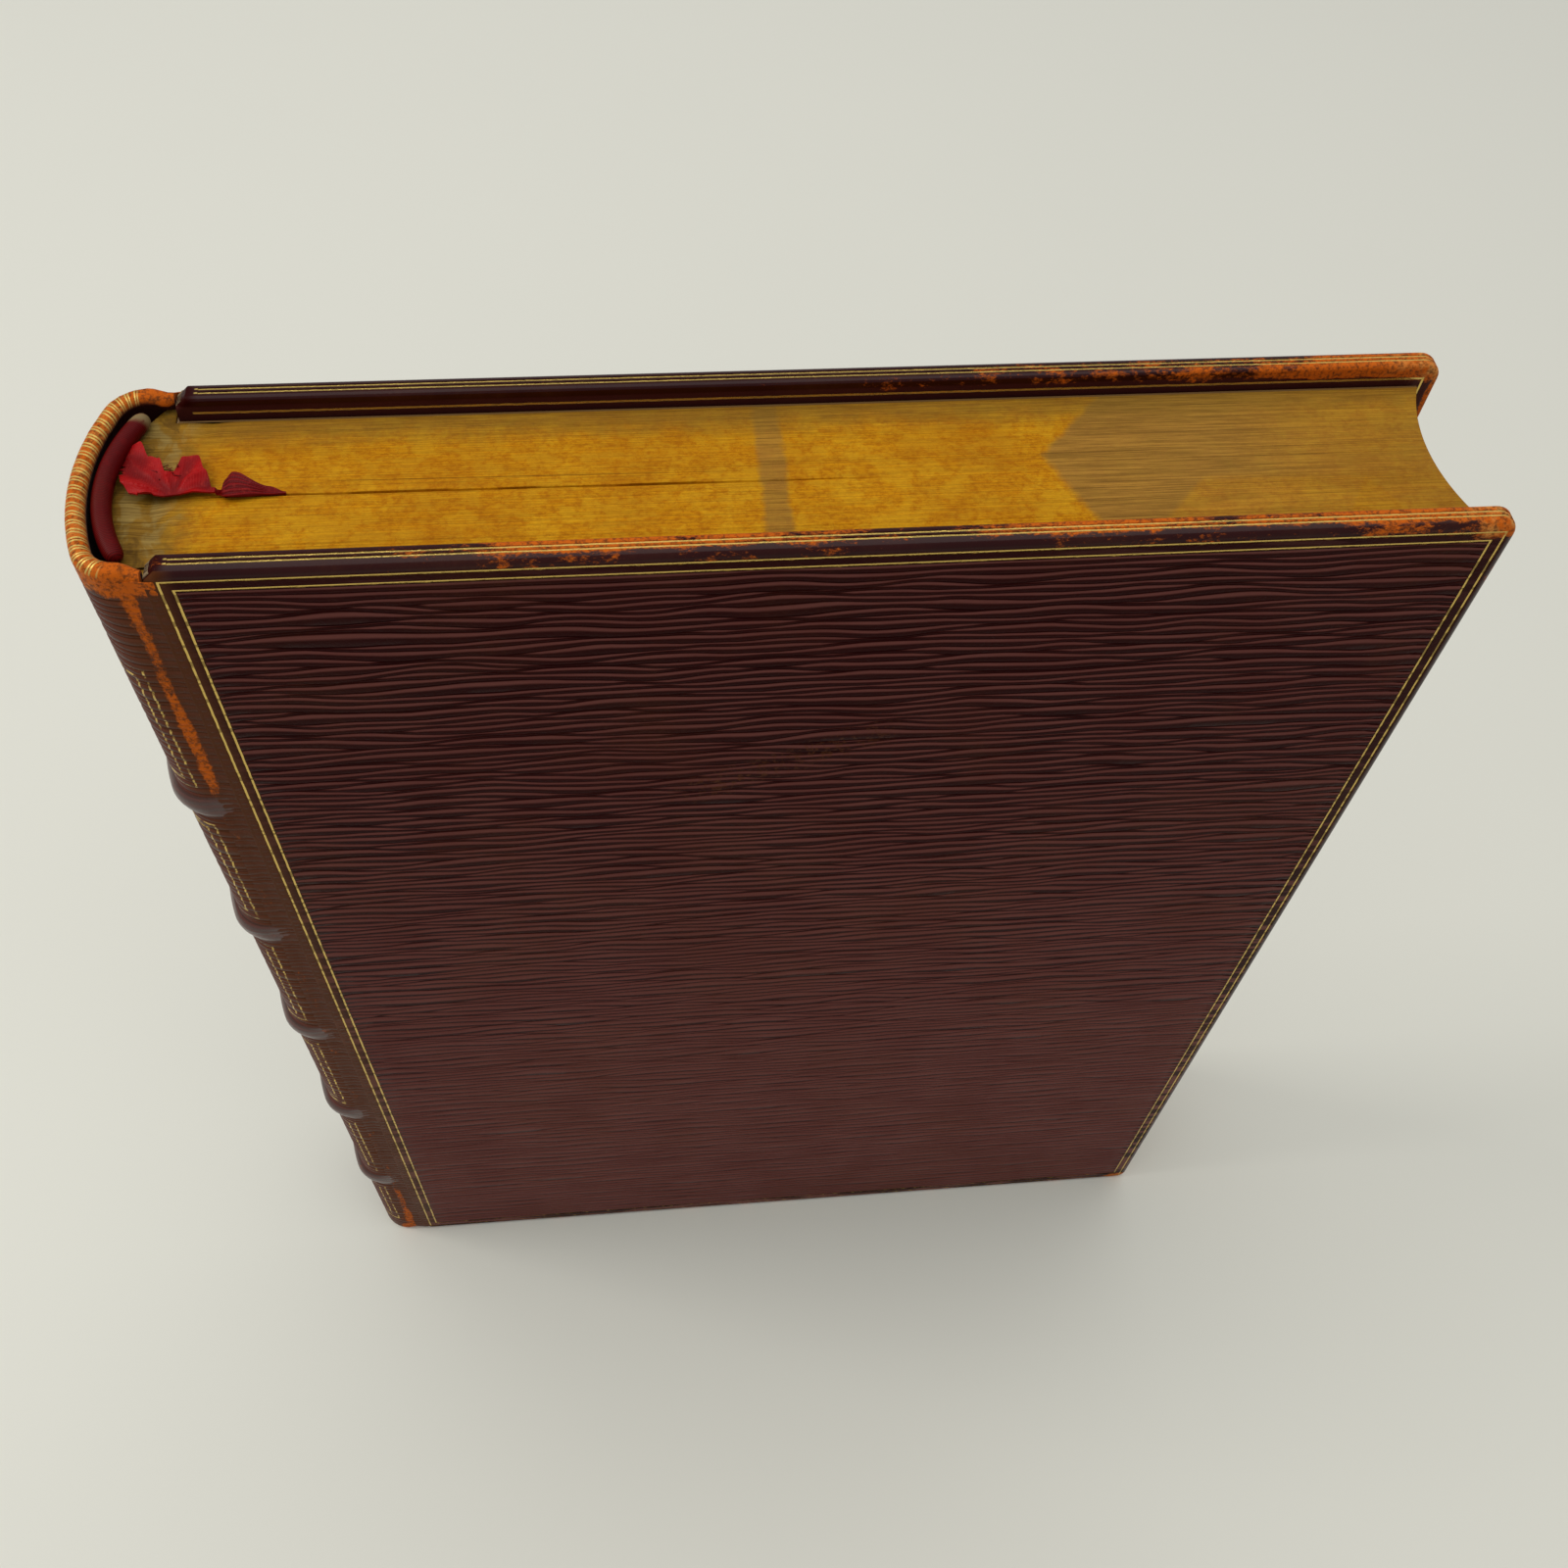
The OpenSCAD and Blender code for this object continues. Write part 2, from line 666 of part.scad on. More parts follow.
text_block();
free_endleaf(false);  // rear_free_endleaf
free_endleaf(true);  // front_free_endleaf
sewing_cord(0);  // sewing_cord_1
sewing_cord(1);  // sewing_cord_2
sewing_cord(2);  // sewing_cord_3
sewing_cord(3);  // sewing_cord_4
sewing_cord(4);  // sewing_cord_5
spine_lining();
spine_tube();
raised_band(0);  // raised_band_1
raised_band(1);  // raised_band_2
raised_band(2);  // raised_band_3
raised_band(3);  // raised_band_4
raised_band(4);  // raised_band_5
spine_leather();
cap_cord(false);  // head_cap_cord
cap_cord(true);  // tail_cap_cord
end_band(false);  // head_band
end_band(true);  // tail_band
ribbon_marker();
board(false);  // rear_board
cover_leather(false);  // rear_cover_leather
pastedown(false);  // rear_pastedown
cord_slips(false);  // rear_cord_slips
board(true);  // front_board
cover_leather(true);  // front_cover_leather
pastedown(true);  // front_pastedown
cord_slips(true);  // front_cord_slips
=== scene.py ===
"""Builds the looks of an antique book, bound in full straight-grained leather, round its frame.

The book stands on its head edge. X runs from the spine to the fore-edge, Y from the rear cover
to the front cover and Z from the head to the tail. All sizes are in metres.
"""

import math
import random

import bmesh
import bpy
from bpy.props import FloatProperty, FloatVectorProperty, IntProperty, PointerProperty
from mathutils import Matrix, Vector, noise


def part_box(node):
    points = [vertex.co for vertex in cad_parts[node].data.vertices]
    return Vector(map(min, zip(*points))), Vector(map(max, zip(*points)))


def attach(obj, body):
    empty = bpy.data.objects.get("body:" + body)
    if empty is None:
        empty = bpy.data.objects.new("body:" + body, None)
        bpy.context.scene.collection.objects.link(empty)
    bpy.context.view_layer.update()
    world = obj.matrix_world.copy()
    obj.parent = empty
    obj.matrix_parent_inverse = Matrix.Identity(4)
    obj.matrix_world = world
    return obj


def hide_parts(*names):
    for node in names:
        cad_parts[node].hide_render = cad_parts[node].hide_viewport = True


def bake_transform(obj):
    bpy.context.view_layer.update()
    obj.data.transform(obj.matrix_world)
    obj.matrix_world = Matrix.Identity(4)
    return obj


bl_info = {
    "name": "Antique Leather Book",
    "version": (1, 0, 0),
    "blender": (4, 5, 0),
    "location": "3D View > Sidebar > Book",
    "description": "Leather, leaves, silk and gilding of an antique book, with its studio",
    "category": "Object",
}

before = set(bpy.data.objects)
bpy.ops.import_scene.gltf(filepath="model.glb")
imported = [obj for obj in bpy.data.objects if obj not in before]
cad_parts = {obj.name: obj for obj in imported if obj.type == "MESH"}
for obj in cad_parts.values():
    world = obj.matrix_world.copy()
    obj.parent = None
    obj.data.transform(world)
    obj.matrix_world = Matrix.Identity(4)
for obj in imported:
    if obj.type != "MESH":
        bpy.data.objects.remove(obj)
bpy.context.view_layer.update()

MM = 0.001
# Two points closer than this are the same place
SAME = 1e-6
MERGED = 1e-7
BAND_COUNT = 5
SIDES = ("rear", "front")

# The frame's own measures, from which every piece takes its place
COVER_LOW, COVER_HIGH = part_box("rear_cover_leather")
JOINT_X = COVER_LOW.x
COVER_W = COVER_HIGH.x - COVER_LOW.x
COVER_H = COVER_HIGH.z - COVER_LOW.z
COVER_T = COVER_HIGH.y - COVER_LOW.y
FACE_Y = -COVER_LOW.y
LEAVES_LOW, LEAVES_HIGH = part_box("text_block")
LEAVES_Y = -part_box("rear_free_endleaf")[1].y
SHOULDER_Y = LEAVES_HIGH.y
BACK_SWELL = JOINT_X - LEAVES_LOW.x
SPINE_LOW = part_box("spine_leather")[0]
BAND_Z = [sum(c.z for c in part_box(f"raised_band_{i + 1}")) / 2 for i in range(BAND_COUNT)]
END_BANDS = {"head_band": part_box("head_band"), "tail_band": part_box("tail_band")}
# How far the leaves' back still stands out where it meets the shoulders
SHOULDER_STEP = 1.2 * MM


def screen(red, green, blue):
    """The linear colour of a screen colour given from 0 to 255."""
    shares = (v / 255 for v in (red, green, blue))
    return tuple(v / 12.92 if v <= 0.04045 else ((v + 0.055) / 1.055) ** 2.4 for v in shares)


def length(name, millimetres, description):
    """A length property, with its default given in millimetres."""
    return FloatProperty(
        name=name, description=description, default=millimetres * MM, min=0.0, soft_max=1.0,
        precision=5, subtype="DISTANCE", unit="LENGTH")


def colour(name, value, description):
    """A colour property."""
    return FloatVectorProperty(
        name=name, description=description, default=value, min=0.0, max=1.0, subtype="COLOR")


class LeatherSizes(bpy.types.PropertyGroup):
    """Sizes of the covers' leather and its grain."""

    grain_pitch: length("Grain pitch", 1.12, "Distance between two ridges of the grain")
    grain_depth: length("Grain depth", 0.3, "Depth of the valleys between the ridges")
    grain_wander: length("Grain wander", 1.0, "How far a valley strays from its straight line")
    grain_step: length("Grain step", 1.7, "Distance between two points along a ridge")
    corner_radius: length("Corner radius", 2.5, "Radius of the corners at the fore-edge")
    joint_corner: length("Joint corner", 1.4, "Cut across the corners at the joint")
    outer_edge: length("Outer edge", 1.2, "Radius of the edges round the outer face")
    inner_edge: length("Inner edge", 0.6, "Radius of the edges round the inner face")
    joint_edge: length("Joint edge", 0.3, "Radius of the outer edge along the joint")
    fillet: length("Fillet", 0.4, "Width of a gilt line on the covers")
    fillet_depth: length("Fillet depth", 0.1, "How deep a gilt line is pressed in")
    frame_outer: length("Outer line", 1.4, "Distance of the outer line from the edges")
    frame_inner: length("Inner line", 2.8, "Distance of the inner line from the edges")
    edge_line_1: length("First edge line", 1.4, "First line on the edge, from the outer face")
    edge_line_2: length("Second edge line", 2.1, "Second line on the edge, from the outer face")
    inside_line: length("Inside line", 2.0, "Line inside the cover, from its edges")


class SpineSizes(bpy.types.PropertyGroup):
    """Sizes of the spine's leather, bands and caps."""

    edge_radius: length("Edge radius", 5.5, "Radius of the spine's long edges")
    joint_flat: length("Joint flat", 3.0, "Width of the flat joint beside a cover")
    joint_dip: length("Joint dip", 0.3, "How far the joint lies below the covers' faces")
    joint_gap: length("Joint gap", 0.3, "Space between the spine's leather and a cover")
    leather: length("Leather", 0.7, "Thickness of the leather")
    turned: length("Turned leather", 1.2, "Thickness where the leather is turned in")
    turn_in: length("Turn-in", 12.0, "Length of the leather turned in at the head and tail")
    cap_radius: length("Cap radius", 1.15, "Radius of the rolled leather at the caps")
    band_width: length("Band width", 4.8, "Width of a raised band")
    band_rise: length("Band rise", 1.2, "Height of a raised band")
    band_foot: length("Band foot", 0.8, "Radius of the leather worked in beside a band")
    line: length("Gilt line", 0.3, "Width of a gilt line on the spine")
    panel_side: length("Panel side", 4.6, "Distance of a panel's outer line from the joint")
    panel_end: length("Panel end", 4.5, "Distance of a panel's outer line from a band's middle")
    panel_step: length("Panel step", 1.5, "Distance between a panel's two lines")
    rule: length("Rule", 16.6, "Distance of the double rule from the tail edge")


class LeafSizes(bpy.types.PropertyGroup):
    """Sizes of the leaves' edges."""

    leaf_rows: IntProperty(
        name="Leaf rows", description="Rows of leaf edges across the thickness",
        default=150, min=20, max=400)
    section_count: IntProperty(
        name="Sections", description="Sewn sections in the book", default=20, min=4, max=60)
    fore_hollow: length("Fore-edge hollow", 2.5, "Depth of the hollow in the fore-edge")
    gap_depth: length("Gap depth", 0.06, "Depth of the gaps between leaf edges")
    parting: length("Parting", 1.6, "Depth of the gap that the ribbon holds open")
    parting_end: length("Parting end", 97.0, "Where that gap closes, from the joint")


class RibbonSizes(bpy.types.PropertyGroup):
    """Sizes of the ribbon marker."""

    width: length("Width", 7.0, "Width of the ribbon")
    thickness: length("Thickness", 0.22, "Thickness of the silk")
    exit: length("Exit", 7.0, "Where the ribbon leaves the leaves, from the joint")
    fold: length("Fold", 0.9, "Height of the folds in the loose end")
    pleat: length("Pleat", 0.16, "Height of the fine pleats")
    thread: length("Thread", 0.06, "Radius of a frayed thread")


class BookColours(bpy.types.PropertyGroup):
    """Colours of the book's finishes."""

    # The ridge colour is a painted highlight and sheen on the grain, the valley colour a painted
    # shade
    ridge: colour("Ridge", screen(108, 62, 56), "Leather on the ridges of the grain")
    valley: colour("Valley", screen(38, 0, 0), "Leather in the valleys of the grain")
    smooth: colour("Smooth", screen(60, 8, 7), "Leather pressed smooth")
    rubbed: colour("Rubbed", screen(90, 50, 24), "Leather rubbed brown")
    worn: colour("Worn", screen(192, 92, 20), "Leather worn through to its orange hide")
    worn_pale: colour("Worn pale", screen(206, 140, 70), "Hide worn pale and dusty")
    gold: colour("Gold", screen(216, 184, 100), "Gold leaf on the tooling")
    gilt: colour("Gilt edge", screen(196, 132, 10), "Gold on the edges of the leaves")
    gilt_orange: colour("Gilt orange", screen(158, 88, 4), "Specks where the gold has thinned")
    gilt_grey: colour("Gilt grey", screen(158, 116, 50), "Stains where the gold has gone")
    # Also painted shadow on the leaves along the front cover, under its board
    gilt_tarnish_and_shadow: colour("Gilt olive", screen(132, 100, 36), "Tarnish near the spine and covers")
    gilt_pale: colour("Gilt pale", screen(214, 164, 30), "Gold that is still bright")
    # Painted highlight and painted shade of the creased leaves
    crease_highlight: colour("Crease, pale", screen(160, 138, 80), "Ridges of the creased leaves")
    crease_shade: colour("Crease, dark", screen(82, 58, 22), "Folds of the creased leaves")
    leaf_line: colour("Leaf line", screen(84, 56, 18), "Fine lines between the leaves")
    # Painted shade in the open gaps between the leaves
    leaf_gap_shade: colour("Leaf gap", screen(62, 36, 8), "Open gaps between the leaves")
    paper: colour("Paper", screen(226, 212, 178), "Endpapers")
    foxing: colour("Foxing", screen(176, 132, 82), "Brown spots and burns on paper")
    # Partly the gilt and soil of the cut edges, partly painted shade
    shaded_cut_edge: colour("Cut edge", screen(96, 66, 20), "Gilt and soiled edges of an endleaf")
    silk: colour("Silk", screen(158, 4, 7), "Ribbon")
    # Painted shade in the ribbon's folds
    silk_shade: colour("Dark silk", screen(92, 2, 4), "Ribbon in its folds")
    silk_rubbed: colour("Rubbed silk", screen(214, 60, 44), "Ribbon where it is rubbed")
    winding: colour("Winding", screen(98, 2, 4), "Silk wound on the end bands")
    # Painted shade in the grooves between the turns
    winding_groove_shade: colour("Dark winding", screen(44, 1, 3), "Grooves of the winding")
    winding_faded: colour("Faded winding", screen(112, 10, 12), "Winding where it has faded")
    band_core: colour("Band core", screen(132, 116, 78), "Bare core of an end band")
    hemp: colour("Hemp", screen(176, 152, 104), "Cords and their slips")
    millboard: colour("Millboard", screen(142, 118, 84), "Boards")
    brown_paper: colour("Brown paper", screen(150, 122, 82), "Tube and lining")
    floor: colour("Floor", screen(224, 223, 212), "Studio floor")


GROUPS = {
    "book_leather": LeatherSizes,
    "book_spine": SpineSizes,
    "book_leaves": LeafSizes,
    "book_ribbon": RibbonSizes,
    "book_colours": BookColours,
}


# Shading


class Shade:
    """Adds nodes to a node tree. Each call gives back the socket that holds its result."""

    def __init__(self, tree):
        self.tree = tree

    def node(self, kind, **settings):
        made = self.tree.nodes.new(kind)
        for name, value in settings.items():
            setattr(made, name, value)
        return made

    def feed(self, socket, value):
        if isinstance(value, bpy.types.NodeSocket):
            self.tree.links.new(value, socket)
        elif socket.type == "RGBA" and len(value) == 3:
            socket.default_value = (*value, 1.0)
        else:
            socket.default_value = value

    def maths(self, operation, *values):
        made = self.node("ShaderNodeMath", operation=operation)
        for socket, value in zip(made.inputs, values):
            self.feed(socket, value)
        return made.outputs[0]

    def least(self, *values):
        result = values[0]
        for value in values[1:]:
            result = self.maths("MINIMUM", result, value)
        return result

    def most(self, *values):
        result = values[0]
        for value in values[1:]:
            result = self.maths("MAXIMUM", result, value)
        return result

    def product(self, *values):
        result = values[0]
        for value in values[1:]:
            result = self.maths("MULTIPLY", result, value)
        return result

    def spread(self, value, low, high, to_low=0.0, to_high=1.0):
        """Eases from one value to another while the input goes from low to high."""
        made = self.node("ShaderNodeMapRange", interpolation_type="SMOOTHSTEP")
        for name, given in (("Value", value), ("From Min", low), ("From Max", high),
                            ("To Min", to_low), ("To Max", to_high)):
            self.feed(made.inputs[name], given)
        return made.outputs["Result"]

    def mix(self, share, first, second):
        made = self.node("ShaderNodeMix", data_type="RGBA")
        colours = [s for s in made.inputs if s.type == "RGBA"]
        self.feed(made.inputs[0], share)
        self.feed(colours[0], first)
        self.feed(colours[1], second)
        return next(s for s in made.outputs if s.type == "RGBA")

    def stretch(self, vector, x, y, z):
        made = self.node("ShaderNodeVectorMath", operation="MULTIPLY")
        self.feed(made.inputs[0], vector)
        made.inputs[1].default_value = (x, y, z)
        return made.outputs[0]

    def cloud(self, vector, scale, detail=3.0, roughness=0.5, distortion=0.0):
        made = self.node("ShaderNodeTexNoise")
        self.feed(made.inputs["Vector"], vector)
        self.feed(made.inputs["Scale"], scale)
        made.inputs["Detail"].default_value = detail
        made.inputs["Roughness"].default_value = roughness
        made.inputs["Distortion"].default_value = distortion
        return made.outputs["Fac"]

    def cells(self, vector, scale, feature="F1"):
        made = self.node("ShaderNodeTexVoronoi", feature=feature)
        self.feed(made.inputs["Vector"], vector)
        self.feed(made.inputs["Scale"], scale)
        return made.outputs["Distance"]

    def steps(self, value, stops):
        """A value that follows stops of (position, amount), with straight lines between."""
        made = self.node("ShaderNodeValToRGB")
        self.feed(made.inputs["Fac"], value)
        ramp = made.color_ramp
        while len(ramp.elements) < len(stops):
            ramp.elements.new(1.0)
        for element, (position, amount) in zip(ramp.elements, stops):
            element.position = position
            element.color = (amount, amount, amount, 1.0)
        grey = self.node("ShaderNodeRGBToBW")
        self.feed(grey.inputs[0], made.outputs["Color"])
        return grey.outputs[0]

    def place(self):
        """The point in the frame, as a vector and as its three parts."""
        spot = self.node("ShaderNodeTexCoord").outputs["Object"]
        return (spot, *self.parts(spot))

    def parts(self, vector):
        made = self.node("ShaderNodeSeparateXYZ")
        self.feed(made.inputs[0], vector)
        return tuple(made.outputs)

    def facing(self):
        """The three parts of the surface's direction."""
        return self.parts(self.node("ShaderNodeNewGeometry").outputs["Normal"])

    def attribute(self, name):
        return self.node("ShaderNodeAttribute", attribute_name=name).outputs["Fac"]

    def group(self, name, output, **inputs):
        made = self.node("ShaderNodeGroup", node_tree=bpy.data.node_groups[name])
        for label, value in inputs.items():
            self.feed(made.inputs[label.replace("_", " ").capitalize()], value)
        return made.outputs[output]

    def bump(self, height, distance, strength=1.0):
        made = self.node("ShaderNodeBump")
        made.inputs["Strength"].default_value = strength
        made.inputs["Distance"].default_value = distance
        self.feed(made.inputs["Height"], height)
        return made.outputs[0]


def new_group(name, inputs, outputs):
    """An empty node group with those float, vector or colour sockets."""
    tree = bpy.data.node_groups.new(name, "ShaderNodeTree")
    for label, kind in inputs:
        tree.interface.new_socket(name=label, in_out="INPUT", socket_type=f"NodeSocket{kind}")
    for label, kind in outputs:
        tree.interface.new_socket(name=label, in_out="OUTPUT", socket_type=f"NodeSocket{kind}")
    shade = Shade(tree)
    return shade, shade.node("NodeGroupInput").outputs, shade.node("NodeGroupOutput").inputs


def make_wear_group():
    """Patches that spread as the amount grows, with speckled borders."""
    shade, given, out = new_group(
        "book_wear", [("Vector", "Vector"), ("Amount", "Float"), ("Scale", "Float")],
        [("Mask", "Float")])
    broad = shade.cloud(given["Vector"], given["Scale"], 5.0, 0.62)
    fine = shade.cloud(given["Vector"], shade.maths("MULTIPLY", given["Scale"], 7.0), 3.0, 0.7)
    mixed = shade.maths("ADD", shade.maths("MULTIPLY", broad, 0.62),
                        shade.maths("MULTIPLY", fine, 0.38))
    border = shade.maths("MULTIPLY_ADD", given["Amount"], -0.52, 0.76)
    shade.feed(out["Mask"], shade.spread(
        mixed, shade.maths("SUBTRACT", border, 0.07), shade.maths("ADD", border, 0.07)))


def make_skin_group():
    """The fine pores and creases of leather, as a height and as a change of tone."""
    shade, given, out = new_group(
        "book_skin", [("Vector", "Vector"), ("Scale", "Float")],
        [("Height", "Float"), ("Tone", "Float")])
    pores = shade.cells(given["Vector"], given["Scale"])
    creases = shade.cells(given["Vector"], shade.maths("MULTIPLY", given["Scale"], 0.45),
                          "DISTANCE_TO_EDGE")
    soft = shade.cloud(given["Vector"], shade.maths("MULTIPLY", given["Scale"], 0.3), 4.0, 0.6)
    lows = shade.spread(creases, 0.0, 0.12)
    shade.feed(out["Height"], shade.maths(
        "MULTIPLY_ADD", lows, 0.5, shade.maths("MULTIPLY_ADD", pores, 0.3, soft)))
    shade.feed(out["Tone"], shade.spread(soft, 0.3, 0.7))


def make_gilt_group():
    """A gilt line at one distance from an edge, a little uneven and broken where it is rubbed."""
    shade, given, out = new_group(
        "book_gilt_line",
        [("Vector", "Vector"), ("Distance", "Float"), ("At", "Float"), ("Width", "Float"),
         ("Rub", "Float")], [("Mask", "Float")])
    waver = shade.maths("MULTIPLY_ADD", shade.cloud(given["Vector"], 700.0, 2.0),
                        0.16 * MM, -0.08 * MM)
    off = shade.maths("ABSOLUTE", shade.maths(
        "ADD", shade.maths("SUBTRACT", given["Distance"], given["At"]), waver))
    half = shade.maths("MULTIPLY", given["Width"], 0.5)
    line = shade.spread(off, shade.maths("MULTIPLY", half, 0.8),
                        shade.maths("MULTIPLY", half, 1.15), 1.0, 0.0)
    broken = shade.group("book_wear", "Mask", vector=given["Vector"], amount=given["Rub"],
                         scale=900.0)
    shade.feed(out["Mask"], shade.maths(
        "MULTIPLY", line, shade.maths("SUBTRACT", 1.0, broken)))


def make_soil_group():
    """Dust and old dirt, as a soft mask."""
    shade, given, out = new_group(
        "book_soil", [("Vector", "Vector"), ("Amount", "Float")], [("Mask", "Float")])
    broad = shade.cloud(given["Vector"], 45.0, 6.0, 0.65)
    specks = shade.cloud(given["Vector"], 1400.0, 2.0, 0.6)
    both = shade.maths("MULTIPLY", shade.spread(broad, 0.42, 0.72),
                       shade.spread(specks, 0.35, 0.7, 0.5, 1.0))
    shade.feed(out["Mask"], shade.maths("MULTIPLY", both, given["Amount"]))


def new_material(name):
    """An empty material with a Principled surface, its Shade and the surface's inputs."""
    material = bpy.data.materials.new(name)
    material.use_nodes = True
    material.node_tree.nodes.clear()
    shade = Shade(material.node_tree)
    surface = shade.node("ShaderNodeBsdfPrincipled")
    output = shade.node("ShaderNodeOutputMaterial")
    material.node_tree.links.new(surface.outputs[0], output.inputs["Surface"])
    return material, shade, surface.inputs


def dress_leather(shade, surface, spot, grain, worn, gilt, brown, pale=0.0, gloss=0.0):
    """Joins the grain, the wear, the rubbing, the gilding and the gloss of one leather piece."""
    tones = bpy.context.scene.book_colours
    skin_height = shade.group("book_skin", "Height", vector=spot, scale=2600.0)
    skin_tone = shade.group("book_skin", "Tone", vector=spot, scale=260.0)
    # The grain's tone paints shade into the valleys and a highlight onto the upper slopes of the
    # ridges
    body = shade.mix(shade.spread(grain, 0.1, 0.9), tones.valley, tones.ridge)
    body = shade.mix(shade.maths("MULTIPLY", skin_tone, 0.2), body, tones.smooth)
    body = shade.mix(brown, body, tones.rubbed)
    soil = shade.group("book_soil", "Mask", vector=spot, amount=0.22)
    body = shade.mix(soil, body, tones.rubbed)
    dusty = shade.spread(shade.cloud(spot, 520.0, 4.0, 0.6), 0.4, 0.66)
    hide = shade.mix(shade.product(dusty, pale), tones.worn, tones.worn_pale)
    hide = shade.mix(shade.spread(shade.cloud(spot, 1900.0, 3.0, 0.7), 0.42, 0.68, 0.0, 0.85),
                     hide, tones.rubbed)
    body = shade.mix(worn, body, hide)
    body = shade.mix(gilt, body, tones.gold)
    shade.feed(surface["Base Color"], body)
    shade.feed(surface["Metallic"], shade.maths("MULTIPLY", gilt, 0.85))
    rough = shade.maths("MULTIPLY_ADD", skin_tone, 0.1, 0.34)
    rough = shade.maths("ADD", rough, shade.maths("MULTIPLY", worn, 0.22))
    rough = shade.maths("SUBTRACT", rough, shade.maths("MULTIPLY", gilt, 0.12))
    shade.feed(surface["Roughness"], rough)
    surface["Specular IOR Level"].default_value = 0.04
    surface["Sheen Weight"].default_value = 0.06
    surface["Sheen Roughness"].default_value = 0.3
    shade.feed(surface["Coat Weight"], shade.product(
        gloss, shade.maths("SUBTRACT", 1.0, shade.most(worn, gilt))))
    surface["Coat Roughness"].default_value = 0.17
    pressed = shade.maths("SUBTRACT", skin_height, shade.maths("MULTIPLY", gilt, 0.5))
    torn = shade.maths("MULTIPLY", shade.cloud(spot, 2600.0, 3.0, 0.7), worn)
    shade.feed(surface["Normal"], shade.bump(
        shade.maths("MULTIPLY_ADD", torn, 0.8, pressed), 0.04 * MM, 0.6))


def outline_distances(shade, x, z):
    """Distances from the joint, the fore-edge, the head and the tail of a cover."""
    return (shade.maths("SUBTRACT", x, JOINT_X),
            shade.maths("SUBTRACT", JOINT_X + COVER_W, x),
            z,
            shade.maths("SUBTRACT", COVER_H, z))


# Where the tail edge of each cover is worn: shares of its width from the joint, and amounts
TAIL_WEAR = {
    "rear": ((0.0, 0.3), (0.05, 0.15), (0.2, 0.3), (0.26, 0.72), (0.45, 0.62), (0.52, 0.36),
             (0.6, 0.4), (0.66, 0.72), (0.72, 0.66), (0.78, 0.5), (0.88, 0.72), (0.94, 1.0)),
    "front": ((0.0, 0.1), (0.1, 0.1), (0.4, 0.16), (0.55, 0.3), (0.7, 0.36), (0.86, 0.5),
              (0.93, 0.92)),
}
# The same along the fore-edge, from the head up
FORE_WEAR = ((0.0, 0.7), (0.05, 0.4), (0.3, 0.2), (0.7, 0.24), (0.88, 0.5), (0.96, 0.8))


